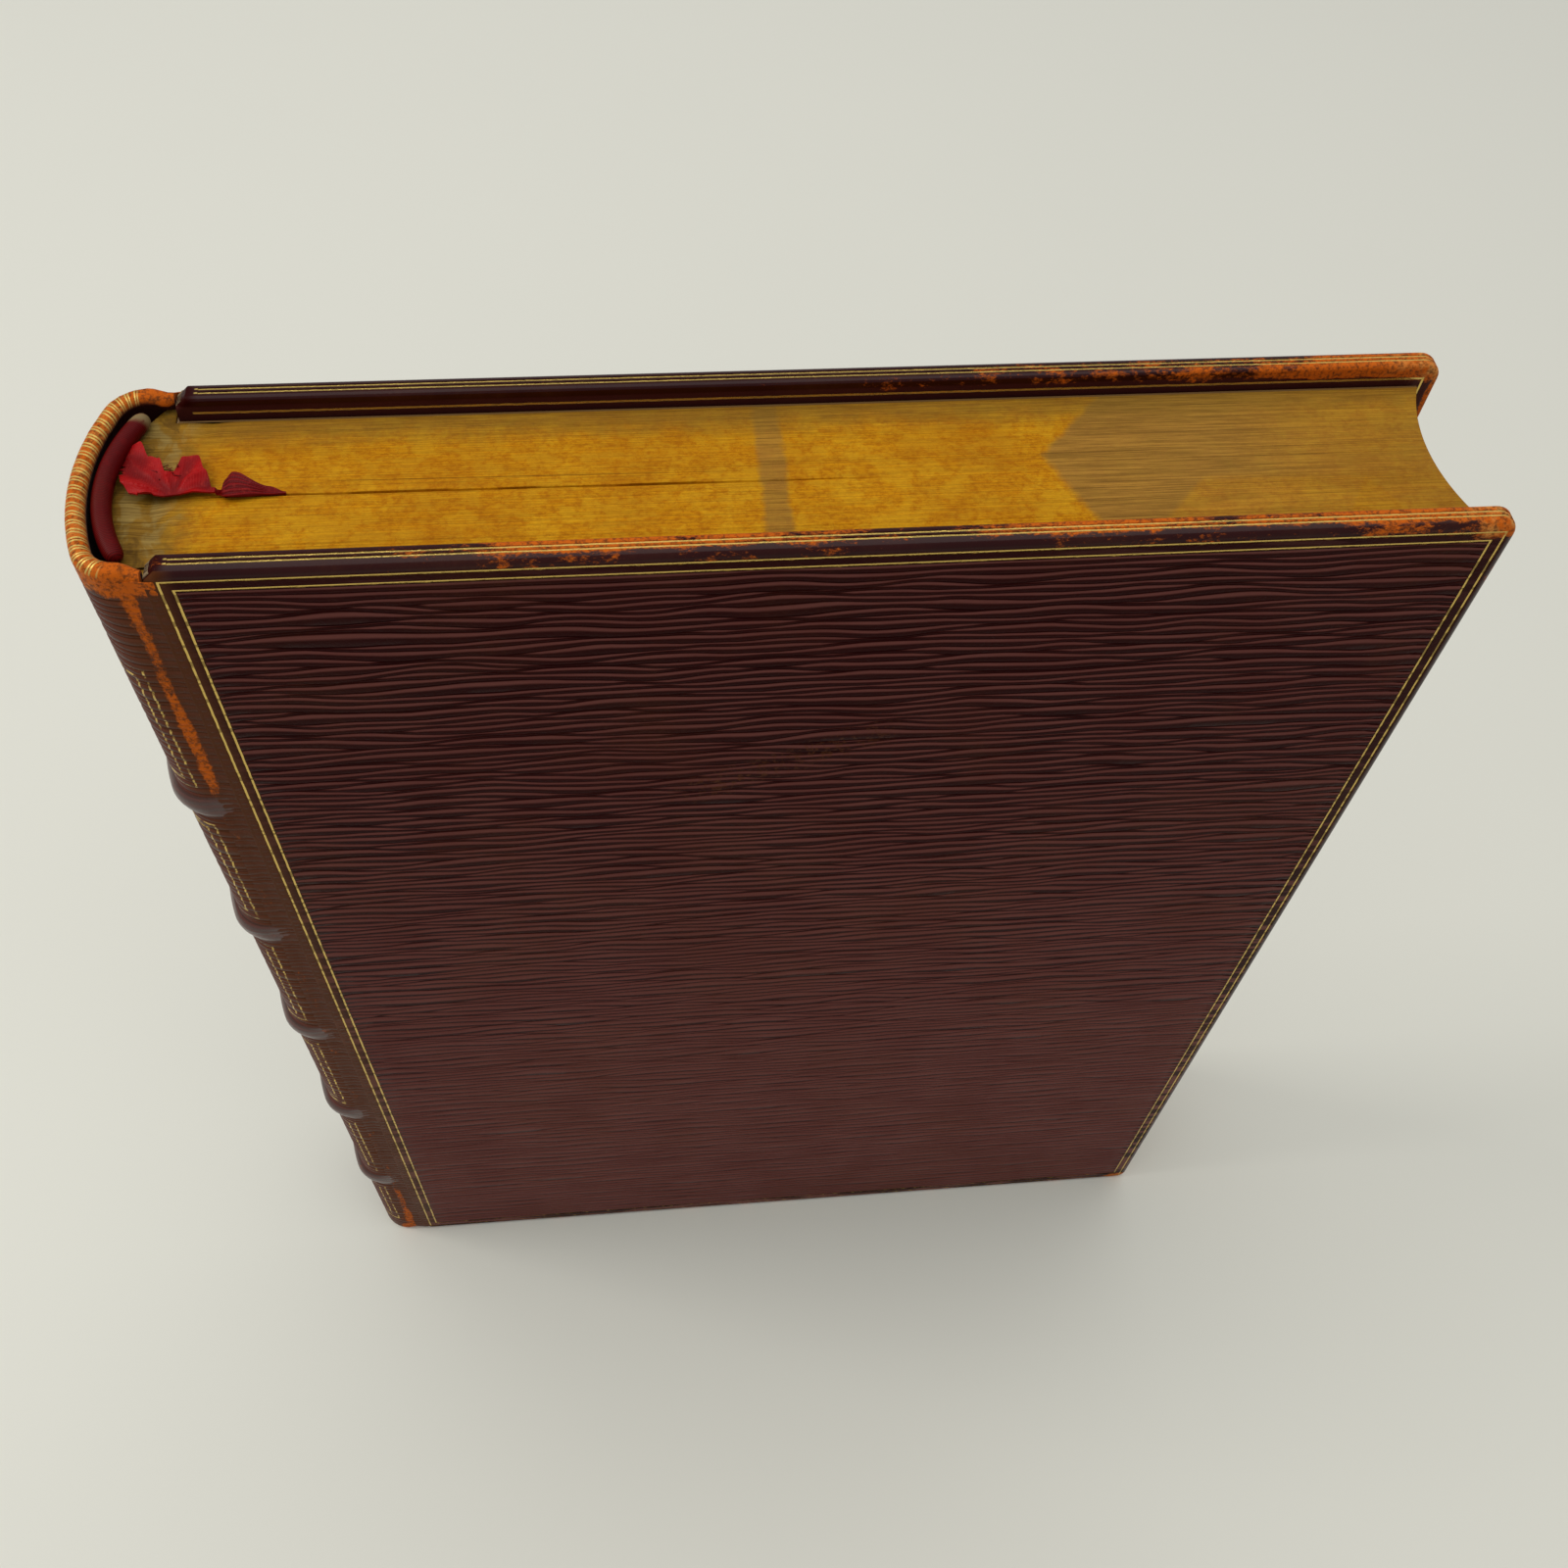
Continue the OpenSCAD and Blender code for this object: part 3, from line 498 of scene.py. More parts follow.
def cover_material(side):
    """Straight-grained leather of a cover, with its gilt lines and worn edges."""
    sizes = bpy.context.scene.book_leather
    material, shade, surface = new_material(f"{side}_morocco")
    spot, x, y, z = shade.place()
    joint, fore, head, tail = outline_distances(shade, x, z)
    depth = shade.maths("SUBTRACT", FACE_Y, shade.maths("ABSOLUTE", y))
    rim = shade.least(fore, head, tail)
    frame_at = shade.least(rim, joint)
    on_face = shade.spread(depth, 0.5 * MM, 0.6 * MM, 1.0, 0.0)
    on_back = shade.spread(depth, COVER_T - 0.3 * MM, COVER_T - 0.2 * MM)
    on_edge = shade.product(shade.spread(rim, 0.25 * MM, 0.35 * MM, 1.0, 0.0),
                            shade.spread(joint, 2.3 * MM, 2.6 * MM))
    half = sizes.fillet / 2

    def line(distance, at, rub, width=0.75):
        return shade.group("book_gilt_line", "Mask", vector=spot, distance=distance, at=at,
                           width=width * sizes.fillet, rub=rub)

    frames = shade.most(line(frame_at, sizes.frame_outer + half, 0.12),
                        line(frame_at, sizes.frame_inner + half, 0.1))
    edges = shade.most(line(depth, sizes.edge_line_1, 0.3, 0.6),
                       line(depth, sizes.edge_line_2, 0.2, 0.6))
    inside = shade.product(line(rim, sizes.inside_line + half, 0.2),
                           shade.spread(joint, 1.8 * MM, 2.0 * MM))
    gilt = shade.most(shade.product(frames, on_face), shade.product(edges, on_edge),
                      shade.product(inside, on_back))

    along = shade.steps(shade.maths("DIVIDE", joint, COVER_W), TAIL_WEAR[side])
    up = shade.steps(shade.maths("DIVIDE", z, COVER_H), FORE_WEAR)
    near_tail = shade.spread(tail, 1.2 * MM, 2.6 * MM, 1.0, 0.0)
    near_fore = shade.spread(fore, 0.6 * MM, 1.6 * MM, 1.0, 0.0)
    near_head = shade.spread(head, 0.6 * MM, 1.8 * MM, 1.0, 0.0)
    corner = shade.product(shade.spread(fore, 1.5 * MM, 9.0 * MM, 1.0, 0.0),
                           shade.spread(shade.least(head, tail), 1.5 * MM, 4.0 * MM, 1.0, 0.0))
    shoulder = shade.spread(depth, 0.5 * MM, 1.4 * MM, 0.45, 1.0)
    amount = shade.most(shade.product(along, near_tail, shoulder),
                        shade.product(up, near_fore, shoulder),
                        shade.product(near_head, 0.45), shade.product(corner, 0.9))
    # The grain's painted shade and highlight runs on faintly between the lines and to the joint
    ripple = shade.spread(shade.cloud(shade.stretch(spot, 0.1, 1.0, 1.0), 850.0, 1.5), 0.38, 0.62)
    margin = shade.product(on_face, shade.spread(
        frame_at, sizes.frame_inner + sizes.fillet, sizes.frame_inner + 1.4 * sizes.fillet,
        1.0, 0.0))
    grain = shade.maths("ADD", shade.product(shade.attribute("grain"),
                                             shade.maths("SUBTRACT", 1.0, margin)),
                        shade.product(ripple, margin, 0.6))
    # Painted sheen: the ridges are painted paler and broader towards the head and darker towards
    # the tail
    painted_sheen_fade = shade.spread(z, 40 * MM, 195 * MM)
    grain = shade.spread(grain, shade.product(painted_sheen_fade, 0.36),
                         shade.maths("MULTIPLY_ADD", painted_sheen_fade, 0.4, 0.62))
    # The leather turned over the board's edges is smooth, dark and polished
    grain = shade.product(grain, shade.spread(rim, 0.9 * MM, 1.4 * MM, 0.3, 1.0))
    upright = shade.maths("LESS_THAN", shade.least(joint, fore), shade.least(head, tail))
    broken = shade.product(upright, on_face, shade.spread(ripple, 0.05, 0.2, 0.5, 0.0))
    gilt = shade.product(gilt, shade.maths("SUBTRACT", 1.0, broken))
    drawn = shade.stretch(spot, 0.42, 1.0, 0.7)
    worn = shade.group("book_wear", "Mask", vector=drawn, amount=amount, scale=460.0)
    worn = shade.product(worn, shade.spread(rim, 1.6 * MM, 4.0 * MM, 1.0, 0.0))
    gloss = shade.product(shade.spread(rim, 0.9 * MM, 1.4 * MM, 0.34, 0.0),
                          shade.spread(joint, 1.5 * MM, 3.0 * MM))
    brown = shade.product(shade.spread(joint, 0.8 * MM, 4.0 * MM, 0.8, 0.0), on_face)
    if side == "rear":
        # A slanting smear in the upper half, where the ridges are scuffed brown
        above = shade.maths("SUBTRACT", shade.maths("SUBTRACT", z, 139 * MM),
                            shade.maths("MULTIPLY", joint, 0.45))
        beside = shade.maths("SUBTRACT", joint, 73 * MM)
        near = shade.product(
            shade.spread(shade.maths("ABSOLUTE", above), 1.0 * MM, 4.5 * MM, 1.0, 0.0),
            shade.spread(shade.maths("ABSOLUTE", beside), 9 * MM, 18 * MM, 1.0, 0.0))
        speckle = shade.spread(shade.cloud(spot, 1500.0, 4.0, 0.7), 0.5, 0.62)
        brown = shade.most(brown, shade.product(near, speckle, 0.55))
    dress_leather(shade, surface, spot, grain, worn, gilt, brown, corner, gloss)
    return material


# Amounts of wear along the joints and the spine's edges, from the head up
JOINT_WEAR = ((0.0, 0.8), (0.1, 0.6), (0.13, 0.35), (0.3, 0.24), (0.7, 0.26), (0.79, 0.4),
              (0.83, 0.72), (0.9, 0.68), (0.93, 0.4), (0.965, 0.45), (0.985, 0.9))


def joint_wear(shade, spot, z, across):
    """Wear along a joint, where across is the distance from its cover."""
    along = shade.steps(shade.maths("DIVIDE", z, COVER_H), JOINT_WEAR)
    off = shade.maths("ABSOLUTE", shade.maths("SUBTRACT", across, 2.3 * MM))
    strip = shade.most(shade.spread(off, 0.3 * MM, 1.3 * MM, 1.0, 0.28),
                       shade.spread(z, COVER_H - 6 * MM, COVER_H - 2 * MM))
    return shade.group("book_wear", "Mask", vector=shade.stretch(spot, 1.0, 1.0, 0.45),
                       amount=shade.product(along, strip), scale=420.0)


def spine_material():
    """Leather of the spine, with gilt panels, a hatched cap and worn joints."""
    sizes = bpy.context.scene.book_spine
    material, shade, surface = new_material("spine_morocco")
    spot, _, _, z = shade.place()
    around, along, _ = shade.parts(shade.node("ShaderNodeUVMap", uv_map="around").outputs[0])
    total = spine_length()
    side = shade.least(around, shade.maths("SUBTRACT", total, around))
    bands = shade.least(*(shade.maths("ABSOLUTE", shade.maths("SUBTRACT", along, at))
                          for at in BAND_Z))
    to_end = shade.least(along, shade.maths("SUBTRACT", COVER_H, along))
    rule_z = COVER_H - sizes.rule
    to_rule = shade.maths("ABSOLUTE", shade.maths("SUBTRACT", along, rule_z))
    panel = shade.least(shade.maths("SUBTRACT", side, sizes.panel_side),
                        shade.maths("SUBTRACT", bands, sizes.panel_end),
                        shade.maths("SUBTRACT", to_end, 6.5 * MM),
                        shade.maths("SUBTRACT", to_rule, 0.6 * MM))

    def line(at, rub):
        return shade.group("book_gilt_line", "Mask", vector=spot, distance=panel, at=at,
                           width=sizes.line, rub=rub)

    panels = shade.most(line(0.0, 0.5), line(sizes.panel_step, 0.46))
    # The panel at the tail lost its frame, and only one slanting line is left of it
    below_rule = shade.spread(along, rule_z, rule_z + 0.4 * MM, 1.0, 0.0)
    slant = shade.maths("SUBTRACT", side, shade.maths(
        "MULTIPLY_ADD", shade.maths("SUBTRACT", along, rule_z), 0.55, 9.0 * MM))
    stray = shade.group("book_gilt_line", "Mask", vector=spot, distance=slant, at=0.0,
                        width=sizes.line, rub=0.4)
    stray = shade.product(stray, shade.spread(to_end, 8.5 * MM, 9.0 * MM),
                          shade.maths("SUBTRACT", 1.0, below_rule))
    panels = shade.most(shade.product(panels, below_rule), stray)
    outside = shade.spread(to_end, -2.6 * MM, -1.6 * MM)
    on_cap = shade.product(outside, shade.spread(to_end, 0.5 * MM, 1.3 * MM, 1.0, 0.0))
    beat = shade.maths("PINGPONG", shade.maths(
        "MULTIPLY_ADD", shade.maths("SUBTRACT", along, COVER_H), 0.28, around), 0.72 * MM)
    strokes = shade.group("book_gilt_line", "Mask", vector=spot, distance=beat, at=0.24 * MM,
                          width=0.24 * MM, rub=0.26)
    reach = shade.product(on_cap, shade.spread(side, 4.2 * MM, 5.2 * MM))
    gilt = shade.most(panels, shade.product(strokes, reach))
    worn_joint = shade.product(joint_wear(shade, spot, z, side), outside)
    cap_amount = shade.product(shade.spread(to_end, 0.5 * MM, 2.4 * MM, 0.4, 0.0),
                               shade.spread(side, 3.0 * MM, 7.0 * MM, 1.6, 0.62))
    hollow = shade.product(shade.spread(to_end, 1.5 * MM, 5.0 * MM, 1.0, 0.0),
                           shade.spread(side, 3.5 * MM, 6.5 * MM, 0.8, 0.0))
    worn_cap = shade.product(outside, shade.group(
        "book_wear", "Mask", vector=spot, amount=shade.most(cap_amount, hollow), scale=420.0))
    on_band = shade.spread(bands, 1.6 * MM, 2.6 * MM, 1.0, 0.0)
    rubbed = shade.group("book_wear", "Mask", vector=spot, amount=shade.product(on_band, 0.14),
                         scale=300.0)
    worn = shade.most(worn_joint, worn_cap, rubbed)
    brown = shade.most(shade.spread(side, 2.0 * MM, 10.0 * MM, 0.8, 0.15),
                       shade.spread(to_end, 1.5 * MM, 6.0 * MM, 0.85, 0.0))
    brown = shade.product(brown, shade.spread(bands, 1.6 * MM, 3.4 * MM, 0.1, 1.0), outside)
    dress_leather(shade, surface, spot, shade.attribute("grain"), worn, gilt, brown,
                  shade.spread(side, 4.0 * MM, 8.0 * MM, 0.0, 0.4), shade.product(on_band, 0.6))
    return material


def joint_material():
    """Leather that crosses a joint, rubbed brown and worn through in places."""
    material, shade, surface = new_material("joint_morocco")
    spot, x, _, z = shade.place()
    across = shade.maths("SUBTRACT", JOINT_X, x)
    dress_leather(shade, surface, spot, shade.attribute("grain"),
                  joint_wear(shade, spot, z, across), 0.0, 0.66)
    return material


def gilt_leaf_material():
    """Gilt edges of the leaves, mottled, stained and parted by fine dark lines, with painted shade
    in their open gaps.
    """
    tones = bpy.context.scene.book_colours
    material, shade, surface = new_material("gilt_leaves")
    spot, x, y, z = shade.place()
    along = shade.maths("SUBTRACT", x, JOINT_X)
    gap = shade.attribute("leaf_gap_shade")
    speck = shade.spread(shade.cloud(shade.stretch(spot, 0.7, 1.0, 0.7), 1500.0, 4.0, 0.75),
                         0.42, 0.62)
    mottled = shade.spread(shade.cloud(spot, 330.0, 5.0, 0.7), 0.44, 0.6)
    patchy = shade.spread(shade.cloud(spot, 62.0, 5.0, 0.6), 0.4, 0.64)
    body = shade.mix(shade.product(speck, 0.6), tones.gilt, tones.gilt_orange)
    body = shade.mix(shade.product(mottled, 0.42), body, tones.gilt_pale)
    body = shade.mix(shade.product(patchy, 0.34), body, tones.gilt_orange)
    # On the tail edge the gold is gone in a stripe across and in a pointed patch beyond it
    ragged = shade.maths("MULTIPLY_ADD", shade.cloud(spot, 420.0, 4.0, 0.6), 5 * MM, -2.5 * MM)
    tail = shade.spread(z, LEAVES_HIGH.z - 2 * MM, LEAVES_HIGH.z - 1.5 * MM)
    stripe = shade.spread(shade.maths("ABSOLUTE", shade.maths(
        "SUBTRACT", shade.maths("MULTIPLY_ADD", ragged, 0.35, along), 71.6 * MM)),
        1.1 * MM, 2.1 * MM, 0.8, 0.0)
    aside = shade.maths("SUBTRACT", y, 1.5 * MM)
    nose = shade.most(shade.maths("MULTIPLY", aside, 0.87), shade.maths("MULTIPLY", aside, -0.41))
    front = shade.maths("SUBTRACT", shade.maths("MULTIPLY_ADD", ragged, 0.4, along), nose)
    patch = shade.product(shade.spread(front, 104.5 * MM, 106 * MM),
                          shade.spread(along, 125 * MM, 150 * MM, 1.0, 0.35))
    # Bright corners left in the stain: a wedge on the rear side and a triangle beyond it
    rear_side = shade.maths("MULTIPLY_ADD", y, -1.0, -3.0 * MM)
    wedge = shade.spread(shade.maths("SUBTRACT", shade.maths("MULTIPLY_ADD", rear_side, 0.9, along),
                                     124 * MM), 0.0, 1.5 * MM)
    wedge = shade.product(wedge, shade.spread(rear_side, -0.5 * MM, 1.5 * MM), 0.45)
    apex = shade.maths("SUBTRACT", shade.maths("MULTIPLY", shade.maths("ADD", y, 3.0 * MM), -0.6),
                       shade.maths("ABSOLUTE", shade.maths("SUBTRACT", along, 145 * MM)))
    bright = shade.most(wedge, shade.product(shade.spread(apex, 0.0, 0.9 * MM), 0.9))
    grey = shade.product(shade.most(stripe, patch), tail,
                         shade.maths("SUBTRACT", 1.0, bright))
    body = shade.mix(shade.product(grey, 0.85), body, tones.gilt_grey)
    # Tarnish at the spine and at the fore-edge, and tarnish with painted shadow along the front
    # cover
    front_tarnish_and_shadow = shade.spread(shade.maths("MULTIPLY_ADD", ragged, 0.6, y), 5.5 * MM, 11 * MM)
    spine_near = shade.spread(shade.maths("MULTIPLY_ADD", ragged, 1.2, along),
                              -2.0 * MM, 6.5 * MM, 1.0, 0.0)
    fore_near = shade.spread(shade.maths("ADD", along, ragged), 118 * MM, 156 * MM)
    tarnish_and_shadow = shade.most(shade.product(front_tarnish_and_shadow, 0.75), spine_near,
                      shade.product(fore_near, 0.4))
    body = shade.mix(shade.product(tarnish_and_shadow, 0.9), body, tones.gilt_tarnish_and_shadow)
    # The leaves are creased near the spine, with painted highlights on the creases' ridges and
    # painted shade in their folds
    creased = shade.product(shade.spread(shade.maths("ADD", along, ragged), -1.0 * MM, 3.5 * MM,
                                         1.0, 0.0), tail)
    folds = shade.cloud(shade.stretch(spot, 1.0, 0.6, 1.0), 330.0, 3.0, 0.6, 0.8)
    body = shade.mix(shade.product(creased, shade.spread(folds, 0.5, 0.62), 0.6), body,
                     tones.crease_highlight)
    body = shade.mix(shade.product(creased, shade.spread(folds, 0.36, 0.46, 1.0, 0.0), 0.6), body,
                     tones.crease_shade)
    # A second parting of the leaves, finer than the one that the ribbon holds open, painted as a
    # dark line of shade
    second = shade.maths("ABSOLUTE", shade.maths("ADD", shade.maths(
        "MULTIPLY", along, 0.0135), shade.maths("SUBTRACT", y, 1.3 * MM)))
    second = shade.product(shade.spread(second, 0.03 * MM, 0.08 * MM, 1.0, 0.0), tail,
                           shade.spread(along, 16 * MM, 22 * MM),
                           shade.spread(along, 48 * MM, 84 * MM, 0.7, 0.0))
    pages = shade.spread(shade.cloud(shade.stretch(spot, 0.03, 1.0, 0.03), 4200.0, 3.0, 0.7),
                         0.38, 0.62)
    lined = shade.maths("MULTIPLY_ADD", shade.most(grey, tarnish_and_shadow), 0.3, 0.18)
    body = shade.mix(shade.product(pages, lined), body, tones.leaf_line)
    # The open gaps between the leaves and the second parting are painted dark, as shade
    bare = shade.maths("MULTIPLY_ADD", shade.most(grey, tarnish_and_shadow), 0.45, 0.25)
    body = shade.mix(shade.most(shade.product(gap, bare), second), body, tones.leaf_gap_shade)
    shade.feed(surface["Base Color"], body)
    surface["Specular IOR Level"].default_value = 0.05
    shade.feed(surface["Metallic"], shade.maths(
        "MULTIPLY_ADD", shade.most(grey, tarnish_and_shadow), -0.22, 0.28))
    shade.feed(surface["Roughness"], shade.maths("MULTIPLY_ADD", speck, 0.14, 0.4))
    fine = shade.cloud(shade.stretch(spot, 0.06, 1.0, 0.06), 9000.0, 3.0, 0.6)
    shade.feed(surface["Normal"], shade.bump(
        shade.maths("MULTIPLY_ADD", speck, 0.5, fine), 0.03 * MM, 0.7))
    return material


def paper_material(name, edged):
    """Endpaper with foxing, a faint laid pattern and brown burns near the leather."""
    tones = bpy.context.scene.book_colours
    material, shade, surface = new_material(name)
    spot, x, _, z = shade.place()
    _, fore, head, tail = outline_distances(shade, x, z)
    laid = shade.maths("SINE", shade.maths("MULTIPLY", z, 2 * math.pi / (1.1 * MM)))
    spots = shade.spread(shade.cells(spot, 120.0), 0.05, 0.16, 1.0, 0.0)
    spots = shade.product(spots, shade.spread(shade.cloud(spot, 60.0, 2.0), 0.5, 0.66))
    ragged = shade.maths("MULTIPLY_ADD", shade.cloud(spot, 90.0, 5.0, 0.6), 14 * MM, -7 * MM)
    margin = shade.maths("ADD", shade.least(fore, head, tail), ragged)
    burn = shade.spread(margin, 13 * MM, 24 * MM, 0.75, 0.05)
    body = shade.mix(burn, tones.paper, tones.foxing)
    body = shade.mix(shade.product(spots, 0.7), body, tones.foxing)
    body = shade.mix(shade.maths("MULTIPLY_ADD", laid, 0.02, 0.02), body, tones.foxing)
    soil = shade.group("book_soil", "Mask", vector=spot, amount=0.25)
    body = shade.mix(soil, body, tones.brown_paper)
    if edged:
        # The cut edges are painted dark, partly for their gilt and soil and partly as painted shade
        across, _, up = shade.facing()
        cut = shade.most(shade.maths("ABSOLUTE", up), across)
        body = shade.mix(shade.spread(cut, 0.6, 0.8), body, tones.shaded_cut_edge)
    shade.feed(surface["Base Color"], body)
    shade.feed(surface["Roughness"], shade.maths(
        "MULTIPLY_ADD", shade.cloud(spot, 700.0), 0.1, 0.78))
    fibre = shade.cloud(spot, 2600.0, 4.0, 0.65)
    shade.feed(surface["Normal"], shade.bump(
        shade.maths("MULTIPLY_ADD", laid, 0.12, fibre), 0.03 * MM, 0.5))
    return material


def silk_material():
    """Dark red silk, woven in a fine rib, with painted light: brighter on its raised folds and
    darker in its folds.
    """
    tones = bpy.context.scene.book_colours
    material, shade, surface = new_material("red_silk")
    spot, *_ = shade.place()
    lift = shade.attribute("lift")
    across, along, _ = shade.parts(shade.node("ShaderNodeUVMap", uv_map="weave").outputs[0])
    rib = shade.maths("SINE", shade.maths("MULTIPLY", along, 2 * math.pi * 3600))
    warp = shade.maths("SINE", shade.maths("MULTIPLY", across, 2 * math.pi * 4200))
    # The lift attribute holds painted light: darker in the folds, brighter on the raised folds
    body = shade.mix(shade.spread(lift, 0.1, 0.75), tones.silk_shade, tones.silk)
    rubbed = shade.spread(shade.cloud(spot, 1500.0, 4.0, 0.65), 0.52, 0.72)
    body = shade.mix(shade.product(rubbed, 0.2), body, tones.silk_rubbed)
    shade.feed(surface["Base Color"], body)
    shade.feed(surface["Roughness"], shade.maths("MULTIPLY_ADD", rubbed, 0.1, 0.42))
    surface["Specular IOR Level"].default_value = 0.12
    surface["Sheen Weight"].default_value = 0.05
    surface["Sheen Roughness"].default_value = 0.4
    surface["Sheen Tint"].default_value = (1.0, 0.45, 0.42, 1.0)
    shade.feed(surface["Normal"], shade.bump(
        shade.maths("MULTIPLY_ADD", warp, 0.6, rib), 0.012 * MM, 0.6))
    return material


def end_band_material():
    """Dark red silk wound over a core, with painted shade in the grooves between its turns, and
    dusty in places.
    """
    tones = bpy.context.scene.book_colours
    material, shade, surface = new_material("headband_silk")
    spot, _, y, _ = shade.place()
    thread = shade.attribute("thread")
    # The thread attribute is 0 in the grooves between the turns, where shade is painted
    body = shade.mix(thread, tones.winding_groove_shade, tones.winding)
    faded = shade.spread(shade.cloud(spot, 800.0, 4.0, 0.6), 0.5, 0.7)
    body = shade.mix(shade.product(faded, 0.3), body, tones.winding_faded)
    soil = shade.group("book_soil", "Mask", vector=spot, amount=0.2)
    body = shade.mix(soil, body, tones.rubbed)
    # One tip is worn to its pale core
    tip = shade.product(shade.spread(y, LEAVES_Y - 2.2 * MM, LEAVES_Y - 1.2 * MM),
                        shade.spread(shade.cloud(spot, 900.0, 3.0), 0.36, 0.52))
    body = shade.mix(shade.product(tip, 0.8), body, tones.band_core)
    shade.feed(surface["Base Color"], body)
    shade.feed(surface["Roughness"], shade.maths("MULTIPLY_ADD", faded, 0.12, 0.46))
    surface["Specular IOR Level"].default_value = 0.1
    shade.feed(surface["Normal"], shade.bump(shade.cloud(spot, 5200.0, 2.0), 0.02 * MM, 0.5))
    return material


def fibre_material(name, tone, stretch, roughness=0.85):
    """Cord, board or paper: one fibrous finish with its grain drawn out along an axis."""
    tones = bpy.context.scene.book_colours
    material, shade, surface = new_material(name)
    spot, *_ = shade.place()
    drawn = shade.stretch(spot, *stretch)
    fibre = shade.cloud(drawn, 1500.0, 5.0, 0.7)
    body = shade.mix(shade.spread(fibre, 0.35, 0.68), tuple(v * 0.55 for v in tone), tone)
    soil = shade.group("book_soil", "Mask", vector=spot, amount=0.4)
    body = shade.mix(soil, body, tones.rubbed)
    shade.feed(surface["Base Color"], body)
    shade.feed(surface["Roughness"], shade.maths("MULTIPLY_ADD", fibre, 0.1, roughness - 0.05))
    shade.feed(surface["Normal"], shade.bump(fibre, 0.08 * MM, 0.7))
    return material


# Meshes


def keep_piece(mesh_data, name, material, body, replaced=(), sharp=40.0):
    """Turns a finished bmesh into a piece that moves with a body."""
    bmesh.ops.recalc_face_normals(mesh_data, faces=mesh_data.faces)
    for face in mesh_data.faces:
        face.smooth = True
    mesh = bpy.data.meshes.new(name)
    mesh_data.to_mesh(mesh)
    mesh_data.free()
    mesh.set_sharp_from_angle(angle=math.radians(sharp))
    mesh.materials.append(material)
    piece = bpy.data.objects.new(name, mesh)
    bpy.context.scene.collection.objects.link(piece)
    if body:
        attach(piece, body)
    if replaced:
        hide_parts(*replaced)
    return piece


def even_normals(piece):
    """Keeps large flat faces flat beside their rounded edges."""
    modifier = piece.modifiers.new("Even normals", "WEIGHTED_NORMAL")
    modifier.keep_sharp = True
    modifier.weight = 50
    return piece


def check_faces(piece, detail):
    """Stops the script if a piece came out without its fine detail."""
    fewest = 10000
    if len(piece.data.polygons) < fewest:
        raise RuntimeError(f"{piece.name} came out without {detail}")


def cut_across(mesh_data, axis, at):
    """Cuts the whole mesh along a plane across one axis."""
    normal = Vector([float(i == axis) for i in range(3)])
    bmesh.ops.bisect_plane(
        mesh_data, geom=mesh_data.verts[:] + mesh_data.edges[:] + mesh_data.faces[:],
        dist=MERGED, plane_co=normal * at, plane_no=normal)


def edges_of(parts):
    """The edges of some faces or points, each once and always in the same order."""
    return list(dict.fromkeys(
        edge for part in parts
        for edge in (part.edges if isinstance(part, bmesh.types.BMFace) else part.link_edges)))


def mapped_grid(columns, rows, shape, around=False, layer=None, uv=None):
    """A grid with its points put in place by shape(column, row), closed round its columns.

    The shape gives back a point, the value for the layer and the coordinates for the map.
    """
    made = bmesh.new()
    bmesh.ops.create_grid(made, x_segments=columns, y_segments=rows, size=1.0)
    store = made.verts.layers.float.new(layer) if layer else None
    chart = made.loops.layers.uv.new(uv) if uv else None
    charted = {}
    for vert in made.verts:
        column = round((vert.co.x + 1) / 2 * columns)
        row = round((vert.co.y + 1) / 2 * rows)
        found = shape(0 if around and column == columns else column, row)
        vert.co = found[0]
        if layer:
            vert[store] = found[1]
        charted[vert.index] = found[2] if uv else None
    if uv:
        for face in made.faces:
            for loop in face.loops:
                loop[chart].uv = charted[loop.vert.index]
    if around:
        bmesh.ops.remove_doubles(made, verts=made.verts, dist=MERGED)
        rims = [e for e in made.edges if e.is_boundary]
        bmesh.ops.holes_fill(made, edges=rims, sides=0)
    return made


# The painted tone of leather without grain, between its painted shade in the valleys and its
# painted highlight on the ridges
SMOOTH_TONE = 0.62


